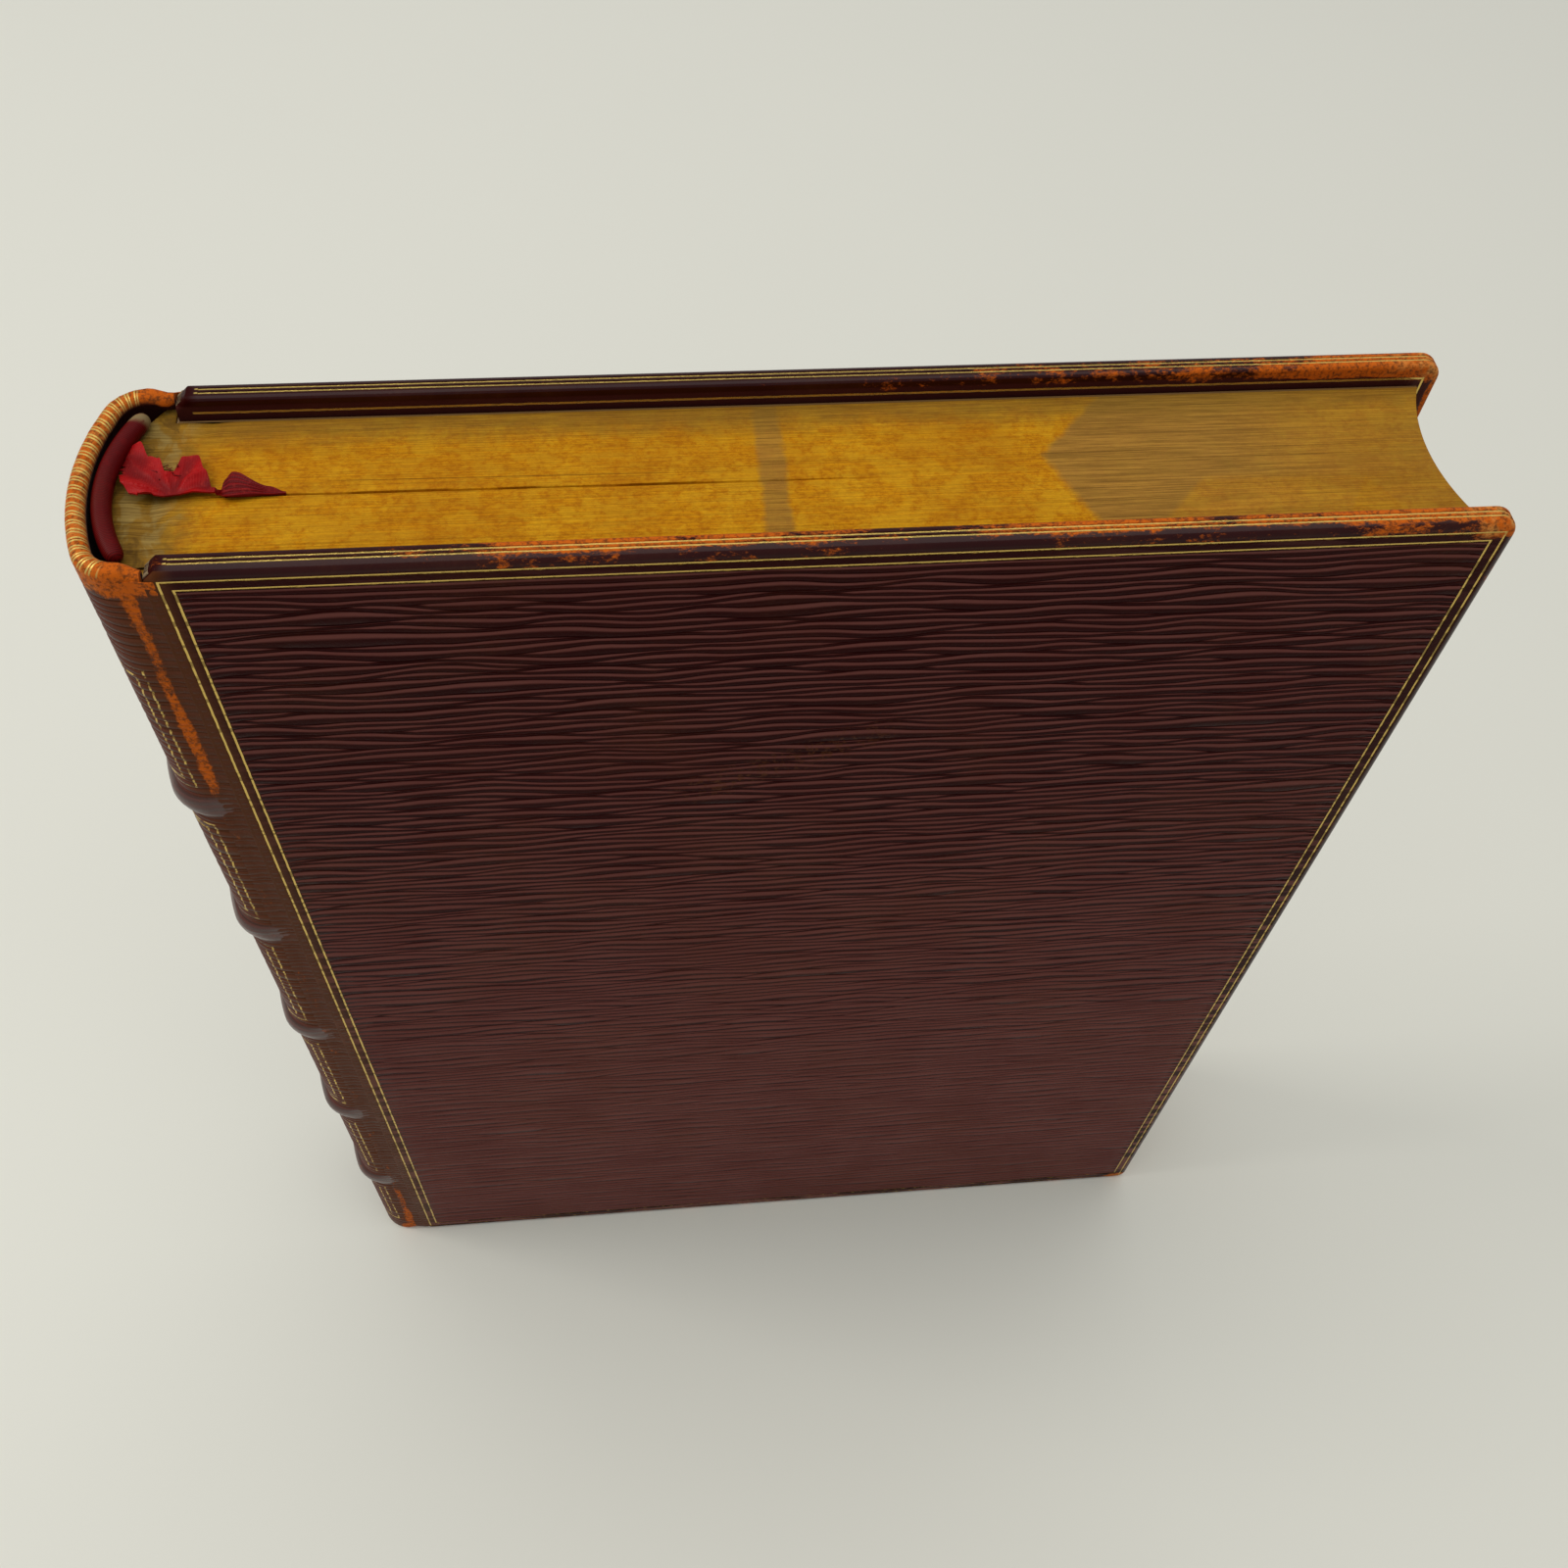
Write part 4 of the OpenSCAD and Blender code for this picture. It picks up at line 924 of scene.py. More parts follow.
class GrainRows:
    """Wandering valleys of the straight grain, which meet and part along their way."""

    # The waves of a valley: length, change from line to line, shift of the seed, and share
    WAVES = ((34 * MM, 0.21, 0.0, 0.7), (13 * MM, 0.9, 7.3, 1.35), (5 * MM, 1.7, 19.1, 0.22))
    LEAST_GAP = 0.02 * MM
    # The rows of one ridge, up from its lower valley: place, height and tone as shares. The tone is
    # painted light: low in the valleys as painted shade and high on the upper slope as a painted
    # highlight
    RIDGE = ((0.0, 0.0, 0.0), (0.12, 0.88, 0.04), (0.5, 1.0, 0.5), (0.8, 0.66, 1.0),
             (1.0, 0.0, 0.0))
    PARTS = len(RIDGE) - 1

    def __init__(self, low, high, pitch, wander, seed):
        self.count = max(4, round((high - low) / pitch))
        self.last = self.PARTS * self.count
        self.low, self.high = low, high
        self.pitch = (high - low) / self.count
        self.wander, self.seed = wander, seed
        self.known = {}

    def stray(self, along, line):
        """How far one valley strays at a point along it."""
        return self.wander * sum(
            share * noise.noise(Vector((along / wave, line * change, self.seed + shift)))
            for wave, change, shift, share in self.WAVES)

    def valleys(self, along):
        """The places of all the valleys at a point along them."""
        key = round(along * 1e6)
        if key not in self.known:
            places = [self.low]
            for line in range(1, self.count):
                freedom = min(1.0, 0.4 * min(line, self.count - line))
                place = self.low + self.pitch * line + freedom * self.stray(along, line)
                places.append(min(max(place, places[-1] + self.LEAST_GAP),
                                  self.high - self.LEAST_GAP))
            places.append(self.high)
            self.known[key] = places
        return self.known[key]

    def at(self, along, row):
        """The place, and the height and tone from 0 to 1, of a row.

        The tone is painted light: the upper slope of a ridge gets a painted highlight and sheen,
        lighter than the rest, the valleys get painted shade, and a narrow ridge is low.
        """
        places = self.valleys(along)
        line = min(row // self.PARTS, self.count - 1)
        share, height, tone = self.RIDGE[row - self.PARTS * line]
        width = places[line + 1] - places[line]
        full = min(1.0, width / (0.8 * self.pitch)) ** 0.8
        return places[line] + share * width, height * full, tone * full


def cover_plate():
    """A cover's outer shape: a plate with rounded edges and its corners cut at the joint."""
    sizes = bpy.context.scene.book_leather
    made = bmesh.new()
    bmesh.ops.create_cube(made, size=1.0)
    bmesh.ops.scale(made, vec=(COVER_W, COVER_T, COVER_H), verts=made.verts)
    bmesh.ops.translate(made, vec=(JOINT_X + COVER_W / 2, COVER_T / 2 - FACE_Y, COVER_H / 2),
                        verts=made.verts)

    def bevel(edges, offset, segments):
        bmesh.ops.bevel(made, geom=edges, offset=offset, offset_type="OFFSET",
                        affect="EDGES", segments=segments, profile=0.5, material=-1)

    def upright(x):
        return [e for e in made.edges if abs(e.verts[0].co.y - e.verts[1].co.y) > COVER_T / 2
                and all(abs(v.co.x - x) < SAME for v in e.verts)]

    def rim(y):
        face = max((f for f in made.faces if all(abs(v.co.y - y) < SAME for v in f.verts)),
                   key=lambda f: f.calc_area())
        return [e for e in face.edges if any(v.co.x > JOINT_X + SAME for v in e.verts)]

    bevel(upright(JOINT_X + COVER_W), sizes.corner_radius, 8)
    bevel(upright(JOINT_X), sizes.joint_corner, 1)
    bevel(rim(-FACE_Y), sizes.outer_edge, 6)
    bevel(rim(COVER_T - FACE_Y), sizes.inner_edge, 4)
    along_joint = [e for e in made.edges if all(
        abs(v.co.y + FACE_Y) < SAME and abs(v.co.x - JOINT_X) < SAME for v in e.verts)]
    bevel(along_joint, sizes.joint_edge, 3)
    return made


def press_lines(made):
    """Presses the gilt lines into a cover's face and edges."""
    sizes = bpy.context.scene.book_leather
    frames = [(at, at + sizes.fillet) for at in (sizes.frame_outer, sizes.frame_inner)]
    edge_lines = (sizes.edge_line_1, sizes.edge_line_2)
    for low in (place for pair in frames for place in pair):
        for axis, places in ((0, (JOINT_X + low, JOINT_X + COVER_W - low)),
                             (2, (low, COVER_H - low))):
            for place in places:
                cut_across(made, axis, place)
    for at in edge_lines:
        for edge in (-0.5, 0.5):
            cut_across(made, 1, at + edge * sizes.fillet - FACE_Y)

    def press(faces):
        bmesh.ops.inset_region(made, faces=faces, thickness=0.04 * MM,
                               depth=-sizes.fillet_depth, use_even_offset=True)

    def inset_from(point):
        return min(point.x - JOINT_X, JOINT_X + COVER_W - point.x, point.z, COVER_H - point.z)

    for low, high in frames:
        press([f for f in made.faces if f.normal.y < -0.9
               and low < inset_from(f.calc_center_median()) < high])
    for at in edge_lines:
        press([f for f in made.faces if abs(f.normal.y) < 0.1
               and abs(f.calc_center_median().y + FACE_Y - at) < 0.3 * sizes.fillet
               and f.calc_center_median().x > JOINT_X + 2.4 * MM])


def grain_cover(side):
    """One cover's leather, with its outer face drawn into ridges inside the gilt lines."""
    sizes = bpy.context.scene.book_leather
    made = cover_plate()
    press_lines(made)
    inset = sizes.frame_inner + sizes.fillet
    field = max((f for f in made.faces if f.normal.y < -0.99), key=lambda f: f.calc_area())
    low_x, high_x = JOINT_X + inset, JOINT_X + COVER_W - inset
    low_z, high_z = inset, COVER_H - inset
    seed = 3.0 if side == "rear" else 11.0
    rows = GrainRows(low_z, high_z, sizes.grain_pitch, sizes.grain_wander, seed)
    columns = round((high_x - low_x) / sizes.grain_step)

    def level(edge):
        return abs(edge.verts[0].co.z - edge.verts[1].co.z) < SAME

    cut = bmesh.ops.subdivide_edges(made, edges=[e for e in field.edges if level(e)],
                                    cuts=columns - 1, use_grid_fill=True)
    strips = dict.fromkeys(f for item in cut["geom_inner"]
                           if isinstance(item, bmesh.types.BMEdge) for f in item.link_faces)
    risers = [e for e in edges_of(strips) if not level(e)]
    bmesh.ops.subdivide_edges(made, edges=risers, cuts=rows.last - 1, use_grid_fill=True)

    # The grain attribute holds the grain's painted tone: shade in the valleys, highlight on the
    # upper slopes
    grain = made.verts.layers.float.new("grain")
    step_x = (high_x - low_x) / columns
    step_z = (high_z - low_z) / rows.last

    def in_field(point):
        return (abs(point.y + FACE_Y) <= 10 * SAME and low_x - SAME < point.x < high_x + SAME
                and low_z - SAME < point.z < high_z + SAME)

    for vert in made.verts:
        vert[grain] = SMOOTH_TONE
        if not in_field(vert.co):
            continue
        column = (vert.co.x - low_x) / step_x
        row = round((vert.co.z - low_z) / step_z)
        place, height, vert[grain] = rows.at(vert.co.x - JOINT_X, row)
        if 0 < row < rows.last:
            vert.co.z = place
            if 0.5 < column < columns - 0.5:
                vert.co.y += sizes.grain_depth * (1 - height)
    if side == "front":
        bmesh.ops.scale(made, vec=(1, -1, 1), verts=made.verts)
        bmesh.ops.reverse_faces(made, faces=made.faces)
    return made


# The sections of the back and the spine, seen from the tail


def back_arc():
    """Middle and radius of the leaves' rounded back."""
    depth = BACK_SWELL - SHOULDER_STEP
    radius = (SHOULDER_Y ** 2 + depth ** 2) / (2 * depth)
    return LEAVES_LOW.x + radius, radius


def spine_arcs():
    """Middle and radius of the long arc, the middle of the rear edge arc and their angle."""
    sizes = bpy.context.scene.book_spine
    reach = JOINT_X - SPINE_LOW.x - sizes.band_rise
    depth = reach - sizes.joint_flat
    joint_y = FACE_Y - sizes.joint_dip
    edge_y = joint_y - sizes.edge_radius
    radius = (depth ** 2 + edge_y ** 2 - sizes.edge_radius ** 2) / (
        2 * (depth - sizes.edge_radius))
    middle_x = JOINT_X - reach + radius
    edge_x = JOINT_X - sizes.joint_flat
    angle = math.atan2(edge_y, middle_x - edge_x)
    return middle_x, radius, edge_x, edge_y, angle


def spine_length():
    """Length of the outline from one cover's joint to the other's."""
    sizes = bpy.context.scene.book_spine
    _, radius, _, _, angle = spine_arcs()
    edge = sizes.edge_radius * (math.pi / 2 - angle)
    return 2 * (sizes.joint_flat + edge + radius * angle)


def spine_point(around):
    """A point of the outline and its outward direction, by the distance from the rear joint."""
    sizes = bpy.context.scene.book_spine
    middle_x, radius, edge_x, edge_y, angle = spine_arcs()
    total = spine_length()
    mirrored = around > total / 2
    s = total - around if mirrored else around
    turn = math.pi / 2 - angle
    if s < sizes.joint_flat:
        point = Vector((JOINT_X - s, -(edge_y + sizes.edge_radius), 0))
        out = Vector((0, -1, 0))
    elif s < sizes.joint_flat + sizes.edge_radius * turn:
        a = (s - sizes.joint_flat) / sizes.edge_radius
        out = Vector((-math.sin(a), -math.cos(a), 0))
        point = Vector((edge_x, -edge_y, 0)) + sizes.edge_radius * out
    else:
        a = angle - (s - sizes.joint_flat - sizes.edge_radius * turn) / radius
        out = Vector((-math.cos(a), -math.sin(a), 0))
        point = Vector((middle_x, 0, 0)) + radius * out
    if mirrored:
        point.y, out.y = -point.y, -out.y
    return point, out


def band_height(distance):
    """Height of a band at a distance from its middle: a round crown on worked-in feet."""
    sizes = bpy.context.scene.book_spine
    half, rise, foot = sizes.band_width / 2, sizes.band_rise, sizes.band_foot
    crown = (half ** 2 + rise ** 2) / (2 * rise)
    foot_at = math.sqrt((crown + foot) ** 2 - (crown - rise + foot) ** 2)
    if distance >= foot_at:
        return 0.0
    if distance > foot_at * crown / (crown + foot):
        return foot - math.sqrt(max(0.0, foot ** 2 - (distance - foot_at) ** 2))
    return rise - crown + math.sqrt(crown ** 2 - distance ** 2)


def ease(value, low, high):
    """Goes smoothly from 0 at low to 1 at high."""
    t = min(1.0, max(0.0, (value - low) / (high - low)))
    return t * t * (3 - 2 * t)


# The grain runs on from the spine over both joints: its seed, and where it starts
SPINE_SEED = 29.0
SPINE_START = 0.4


def spine_skin():
    """The spine's leather: a section carried round the outline, from its wall to both caps."""
    sizes = bpy.context.scene.book_spine
    leather = bpy.context.scene.book_leather
    total = spine_length()
    gap = sizes.joint_gap
    columns = round((total - 2 * gap) / (0.75 * MM))
    cap_steps = 14
    rows = GrainRows(2.6 * MM, COVER_H - 2.6 * MM, leather.grain_pitch,
                     0.8 * leather.grain_wander, SPINE_SEED)
    wall_rows = rows.last
    inner_rows = 9
    count = wall_rows + 2 * cap_steps + inner_rows

    def band_relief(z, out, side):
        """Height of the nearest band, which runs out towards the joints."""
        reach = max(0.0, -out.x)
        tail = 0.07 * ease(side, 1.0 * MM, 3.0 * MM)
        return max(reach, tail) * max(band_height(abs(z - at)) for at in BAND_Z)

    def band_cover(z):
        """Grain is flattened where the leather is stretched over a band."""
        return ease(min(abs(z - at) for at in BAND_Z), 1.6 * MM, 3.6 * MM) * 0.85 + 0.15

    def section(row, column):
        around = gap + (total - 2 * gap) * column / columns
        side = min(around, total - around)
        point, out = spine_point(around)
        roll = ease(side, 0.3 * MM, 1.6 * MM)
        radius = 0.8 * MM + (sizes.cap_radius - 0.8 * MM) * roll
        dip = 0.9 * MM * (1 - ease(side, 0.4 * MM, 3.0 * MM))
        dip += 0.14 * MM * noise.noise(Vector((around / 0.003, 1.0, 4.0)))
        dip = max(0.0, dip)
        low_z, high_z = radius + dip, COVER_H - radius - dip
        tone = 0.4
        if row <= wall_rows:
            # The grain's painted tone: shade in the valleys, highlight on the upper slopes
            place, height, tone = rows.at(around + SPINE_START, row)
            share = (place - rows.low) / (rows.high - rows.low)
            z = low_z + (high_z - low_z) * share
            depth = -band_relief(z, out, side)
            fade = ease(min(z, COVER_H - z), 2.5 * MM, 6 * MM)
            flat = band_cover(z)
            depth += leather.grain_depth * 0.8 * (1 - height) * (0.25 + 0.75 * fade) * flat
            tone = 0.4 + (tone - 0.4) * (0.2 + 0.6 * flat)
            along = z
            if row in (0, wall_rows):
                depth = 0.0
        elif row <= wall_rows + cap_steps:
            turn = math.pi * (row - wall_rows) / cap_steps
            worked = 0.09 * MM * noise.noise(Vector((around / 0.0008, turn, 2.0))) * roll
            depth = radius * (1 - math.cos(turn))
            z = high_z + (radius + worked) * math.sin(turn)
            along = high_z + radius * turn
        elif row <= wall_rows + cap_steps + inner_rows - 1:
            step = row - wall_rows - cap_steps
            wall = sizes.turned
            inside = ((wall, high_z - radius), (wall, high_z - 2 * radius - 2 * MM),
                      (wall, COVER_H - sizes.turn_in), (sizes.leather, COVER_H - sizes.turn_in),
                      (sizes.leather, sizes.turn_in), (wall, sizes.turn_in),
                      (wall, low_z + 2 * radius + 2 * MM), (wall, low_z + radius))
            depth, z = inside[step - 1]
            along = COVER_H + 9 * MM
        else:
            step = row - wall_rows - cap_steps - inner_rows
            turn = math.pi * (1 - step / cap_steps)
            depth = radius * (1 - math.cos(turn))
            z = low_z - radius * math.sin(turn)
            along = low_z - radius * turn
        return point - out * depth + Vector((0, 0, z)), tone, (around, along)

    return mapped_grid(count, columns, section, True, "grain", "around")


def joint_skin(side):
    """The leather over a joint: a thin strip from the spine's flat to the cover's edge."""
    leather = bpy.context.scene.book_leather
    rows = GrainRows(1.5 * MM, COVER_H - 1.5 * MM, leather.grain_pitch,
                     0.8 * leather.grain_wander, SPINE_SEED)
    # Distance from the joint towards the cover, and height of the outside above the flat
    top = ((-2.9, 0.0), (-2.5, 0.05), (-1.9, 0.07), (-1.4, 0.05), (-0.9, 0.09), (-0.5, 0.16),
           (-0.25, 0.2), (0.0, 0.24), (0.25, 0.29), (0.6, 0.33), (0.95, 0.33), (1.25, 0.3))
    section = top + tuple((x, h - 0.14) for x, h in reversed(top))
    base = FACE_Y - bpy.context.scene.book_spine.joint_dip

    def shape(column, row):
        x, rise = section[column]
        along = SPINE_START + spine_length() - abs(x) * MM
        place, height, tone = rows.at(along, row)
        ends = ease(min(row, rows.last - row), 0, 12)
        if column < len(top):
            rise -= 0.12 * (1 - height) * ends
        y = -(base + rise * MM)
        # The second value is the grain's painted tone, shade in the valleys and highlight on the
        # ridges
        return Vector((JOINT_X + x * MM, y if side == "rear" else -y, place)), 0.1 + 0.6 * tone

    return mapped_grid(len(section), rows.last, shape, True, "grain")


# Where the paper in the gutter lies on the shoulder and on the board, from the joint
PAPER_FOLD = (-0.22 * MM, -0.08 * MM)


def paper_joint(side):
    """The folded paper in the gutter: down the leaves' shoulder and back up the board's edge."""
    shoulder_x, board_x = (JOINT_X + at for at in PAPER_FOLD)
    top_y, low_y = -LEAVES_Y - 0.32 * MM, -FACE_Y + 0.55 * MM
    board_y = COVER_T - FACE_Y + 0.1 * MM
    flats, bends = 8, 16
    path = [Vector((shoulder_x, top_y + (low_y - top_y) * i / flats, 0))
            for i in range(flats + 1)]
    middle = (shoulder_x + board_x) / 2
    radius = (board_x - shoulder_x) / 2
    for i in range(1, bends):
        turn = math.pi * i / bends
        path.append(Vector((middle - radius * math.cos(turn),
                            low_y - radius * math.sin(turn), 0)))
    path += [Vector((board_x, low_y + (board_y - low_y) * i / flats, 0))
             for i in range(flats + 1)]
    levels = 24
    low_z, high_z = LEAVES_LOW.z + 0.3 * MM, LEAVES_HIGH.z - 0.3 * MM

    def shape(column, row):
        point = path[column].copy()
        point.z = low_z + (high_z - low_z) * row / levels
        if side == "front":
            point.y = -point.y
        return (point,)

    return mapped_grid(len(path) - 1, levels, shape)


def leaf_block():
    """The leaves: one closed loop for each row of leaf edges, joined across the thickness."""
    sizes = bpy.context.scene.book_leaves
    back_x, back_r = back_arc()
    fore_r = (LEAVES_Y ** 2 + sizes.fore_hollow ** 2) / (2 * sizes.fore_hollow)
    fore_x = LEAVES_HIGH.x - sizes.fore_hollow + fore_r
    tail_steps, fore_steps, back_steps = 66, 36, 12
    loop = 2 * tail_steps + fore_steps + back_steps
    leaf_rows = 2 * sizes.leaf_rows
    shoulder_rows = 3
    edge_rows = shoulder_rows + 1
    rows = leaf_rows + 2 * edge_rows
    rng = random.Random(5)
    deep = [rng.random() ** 6 for _ in range(rows + 1)]
    steps = [rng.uniform(-1, 1) for _ in range(rows + 1)]
    per_section = leaf_rows / sizes.section_count

    def row_y(row):
        if row < edge_rows:
            return -SHOULDER_Y + (SHOULDER_Y - LEAVES_Y) * row / shoulder_rows
        if row > rows - edge_rows:
            return SHOULDER_Y - (SHOULDER_Y - LEAVES_Y) * (rows - row) / shoulder_rows
        return -LEAVES_Y + 2 * LEAVES_Y * (row - edge_rows) / leaf_rows

    def ends(row, y):
        back = back_x - math.sqrt(back_r ** 2 - y ** 2)
        if row < edge_rows or row > rows - edge_rows:
            return back, JOINT_X - 0.3 * MM
        count = (row - edge_rows) % per_section
        fold = min(count, per_section - count)
        back += 0.25 * MM * (1 - ease(fold, 0, 2.2))
        return back, fore_x - math.sqrt(fore_r ** 2 - y ** 2)

    def gap_at(row, along):
        """How open the gap beside a leaf is at a place along it, from 0 to 1."""
        if row % 2 == 0 or row < edge_rows or row > rows - edge_rows:
            return 0.0
        drift = noise.noise(Vector((along * 0.8, row * 2.3, 0.5)))
        broad = noise.noise(Vector((along * 0.25, row * 0.11, 4.0)))
        open_ = 0.16 + 0.9 * deep[row] + 0.3 * drift + 0.3 * broad
        return min(1.0, max(0.0, open_))

    def shape(column, row):
        y = row_y(row)
        back, fore = ends(row, y)
        bundle = row // 2
        along = 0.0
        if column < tail_steps:
            share = column / tail_steps
            x, z = back + (fore - back) * share, LEAVES_HIGH.z
            along, inward = (x - JOINT_X) / 0.01, Vector((0, 0, -1))
        elif column < tail_steps + fore_steps:
            share = (column - tail_steps) / fore_steps
            x, z = fore, LEAVES_HIGH.z + (LEAVES_LOW.z - LEAVES_HIGH.z) * share
            along, inward = z / 0.01 + 40, Vector((-1, 0, 0))
        elif column < 2 * tail_steps + fore_steps:
            share = (column - tail_steps - fore_steps) / tail_steps
            x, z = fore + (back - fore) * share, LEAVES_LOW.z
            along, inward = (x - JOINT_X) / 0.01 + 90, Vector((0, 0, 1))
        else:
            share = (column - 2 * tail_steps - fore_steps) / back_steps
            x, z = back, LEAVES_LOW.z + (LEAVES_HIGH.z - LEAVES_LOW.z) * share
            inward = Vector((0, 0, 0))
        point = Vector((x, y, z))
        gap = gap_at(row, along)
        sunk = 0.012 * MM * (1 + steps[bundle]) + sizes.gap_depth * gap
        if column < tail_steps:
            run = x - JOINT_X
            part = ease(run, 2 * MM, 12 * MM) * (1 - ease(
                run, sizes.parting_end - 60 * MM, sizes.parting_end))
            close = 1 - ease(abs(y - RIBBON_Y + 0.005 * run), 0.05 * MM, 0.17 * MM)
            sunk += sizes.parting * part * close
            gap = max(gap, part * close)
            creased = 1 - ease(run, 1.5 * MM, 6.5 * MM)
            fold = noise.noise(Vector((run / 0.0024, y / 0.0034, 8.0)))
            ridge = abs(noise.noise(Vector((run / 0.0017, y / 0.0045, 2.0))))
            sunk += creased * (0.35 * MM + 0.5 * MM * fold - 1.1 * MM * ridge)
        if column in (0, tail_steps, tail_steps + fore_steps, 2 * tail_steps + fore_steps):
            sunk = 0.0
        return point + inward * max(0.0, sunk), gap

    # The gap is kept as the mask of the painted shade in the gaps between the leaves
    return mapped_grid(loop, rows, shape, True, "leaf_gap_shade")


# The ribbon's loose end: distance from the exit as a share, its two sides in mm, and its lift
LOOSE_END = (
    (0, -0.12, 0.12, 0), (0.1, -0.4, 0.9, 0.3), (0.33, -0.85, 3.2, 0.9), (0.37, -0.8, 1.9, 0.8),
    (0.385, -0.3, 0.4, 0.3), (0.44, -0.2, 0.7, 0.3), (0.49, -0.2, 3.2, 0.6), (0.56, -0.3, 6.1, 1),
    (0.65, -0.3, 5.8, 1), (0.69, -0.4, 3.3, 0.5), (0.73, -0.5, 3.1, 0.5), (0.78, -0.5, 5.2, 0.8),
    (0.85, -0.6, 5.9, 1), (0.92, -0.2, 8.3, 1), (0.97, 0.9, 7.9, 1), (1, 2.3, 5.9, 0.8))
RIBBON_Y = -1.0 * MM


def loose_row(share):
    """The two sides and the lift of the loose end at a share of its length."""
    for low, high in zip(LOOSE_END, LOOSE_END[1:]):
        if share <= high[0]:
            t = ease(share, low[0], high[0])
            return [a + (b - a) * t for a, b in zip(low[1:], high[1:])]
    return list(LOOSE_END[-1][1:])


def ribbon():
    """The ribbon: a flat strip between the leaves that ends crumpled on the tail edge."""
    sizes = bpy.context.scene.book_ribbon
    along_steps, across_steps = 150, 34
    start = JOINT_X + sizes.exit + sizes.width
    run = sizes.exit + sizes.width + BACK_SWELL - 1.6 * MM
    base = LEAVES_HIGH.z + 0.12 * MM

    knot = Vector((JOINT_X + 1.2 * MM, RIBBON_Y - 0.5 * MM))

    def shape(column, row):
        share, across = column / along_steps, row / across_steps
        near, far, lift = loose_row(share)
        ragged = 0.0
        if share > 0.9:
            ragged = 0.9 * MM * noise.noise(Vector((across * 9, 3.0, 1.0))) * ease(
                share, 0.9, 1.0)
        x = start - share * run + ragged
        y = RIBBON_Y + (near + across * (far - near)) * MM
        out = Vector((x, y)) - knot
        fan = math.atan2(out.y, out.x) + 0.25 * noise.noise(Vector((out.length / 0.003, 1.0, 5.0)))
        if share < 0.42:
            pleats = math.sin(across * math.pi * 11 + 2.5 * noise.noise(
                Vector((share * 7, across * 2, 6.0))))
            rise = lift * (0.5 + 0.5 * math.sin(math.pi * across))
            z = base + sizes.fold * rise + sizes.pleat * (0.6 + 0.6 * pleats) * ease(
                share, 0.02, 0.2)
            # Painted light: the pleats are lighter on their crests and darker between them
            lit = 0.1 + 0.3 * pleats
        else:
            crest = 1 - abs(math.sin(3.1 * fan + 0.5)) ** 0.8
            minor = 1 - abs(math.sin(7.4 * fan + 1.7))
            grown = ease(out.length, 0.4 * MM, 3.0 * MM)
            folds = grown * (1.15 * crest + 0.22 * minor) * lift
            soft = noise.noise(Vector((x / 0.0026, y / 0.0024, 3.7)))
            z = base + sizes.fold * (0.55 + folds) + 0.25 * MM * soft
            # Painted light: the raised folds are brighter and the low parts darker
            lit = 0.35 + 0.75 * folds + 0.3 * soft
        return Vector((x, y, z)), min(1.0, max(0.0, lit)), (across * sizes.width, share * run)

    # The painted light is kept in the lift attribute
    return mapped_grid(along_steps, across_steps, shape, False, "lift", "weave")


def ribbon_strip():
    """The flat length of ribbon that lies between the leaves."""
    sizes = bpy.context.scene.book_ribbon
    foot = JOINT_X - BACK_SWELL + 1.0 * MM
    top = JOINT_X + sizes.exit
    made = bmesh.new()
    bmesh.ops.create_cube(made, size=1.0)
    for vert in made.verts:
        upper = vert.co.z > 0
        vert.co.x = (top if upper else foot) + (vert.co.x + 0.5) * sizes.width
        vert.co.y = (RIBBON_Y if upper else 0.1 * MM) + vert.co.y * sizes.thickness
        vert.co.z = LEAVES_HIGH.z + 0.1 * MM if upper else LEAVES_LOW.z
    return made


def frayed_ways():
    """The ways of the loose threads at the ribbon's torn end, as lists of points."""
    rng = random.Random(8)
    base = LEAVES_HIGH.z + 0.5 * MM
    thread_count, steps = 14, 8
    ways = []
    for _ in range(thread_count):
        start = Vector((JOINT_X + rng.uniform(-1.5, 2.5) * MM,
                        rng.uniform(0.9, 3.2) * MM, base + rng.uniform(0.3, 0.9) * MM))
        heading = Vector((rng.uniform(-1, 1), rng.uniform(-0.2, 0.9), 0))
        ways.append([start + heading * 0.28 * MM * i + Vector((
            0.12 * MM * math.sin(1.3 * i), 0.1 * MM * math.cos(1.1 * i), -0.045 * MM * i))
            for i in range(steps)])
    return ways


def thread(points, radius):
    """A thin tube along points, as a bmesh made by sweeping a small ring."""
    made = bmesh.new()
    ring = bmesh.ops.create_circle(made, segments=5, radius=radius)["verts"]
    turn = Vector((0, 0, 1)).rotation_difference(points[1] - points[0]).to_matrix()
    bmesh.ops.rotate(made, cent=(0, 0, 0), matrix=turn, verts=ring)
    bmesh.ops.translate(made, vec=points[0], verts=ring)
    made.faces.new(ring)
    edges = edges_of(ring)
    for before, after in zip(points, points[1:]):
        grown = bmesh.ops.extrude_edge_only(made, edges=edges)["geom"]
        verts = [g for g in grown if isinstance(g, bmesh.types.BMVert)]
        edges = [g for g in grown if isinstance(g, bmesh.types.BMEdge)]
        edges = [e for e in edges if all(v in verts for v in e.verts)]
        bmesh.ops.translate(made, vec=after - before, verts=verts)
    bmesh.ops.holes_fill(made, edges=[e for e in made.edges if e.is_boundary], sides=0)
    return made


def join_into(made, other):
    """Moves the contents of one bmesh into another."""
    holder = bpy.data.meshes.new("joined")
    other.to_mesh(holder)
    other.free()
    made.from_mesh(holder)
    bpy.data.meshes.remove(holder)


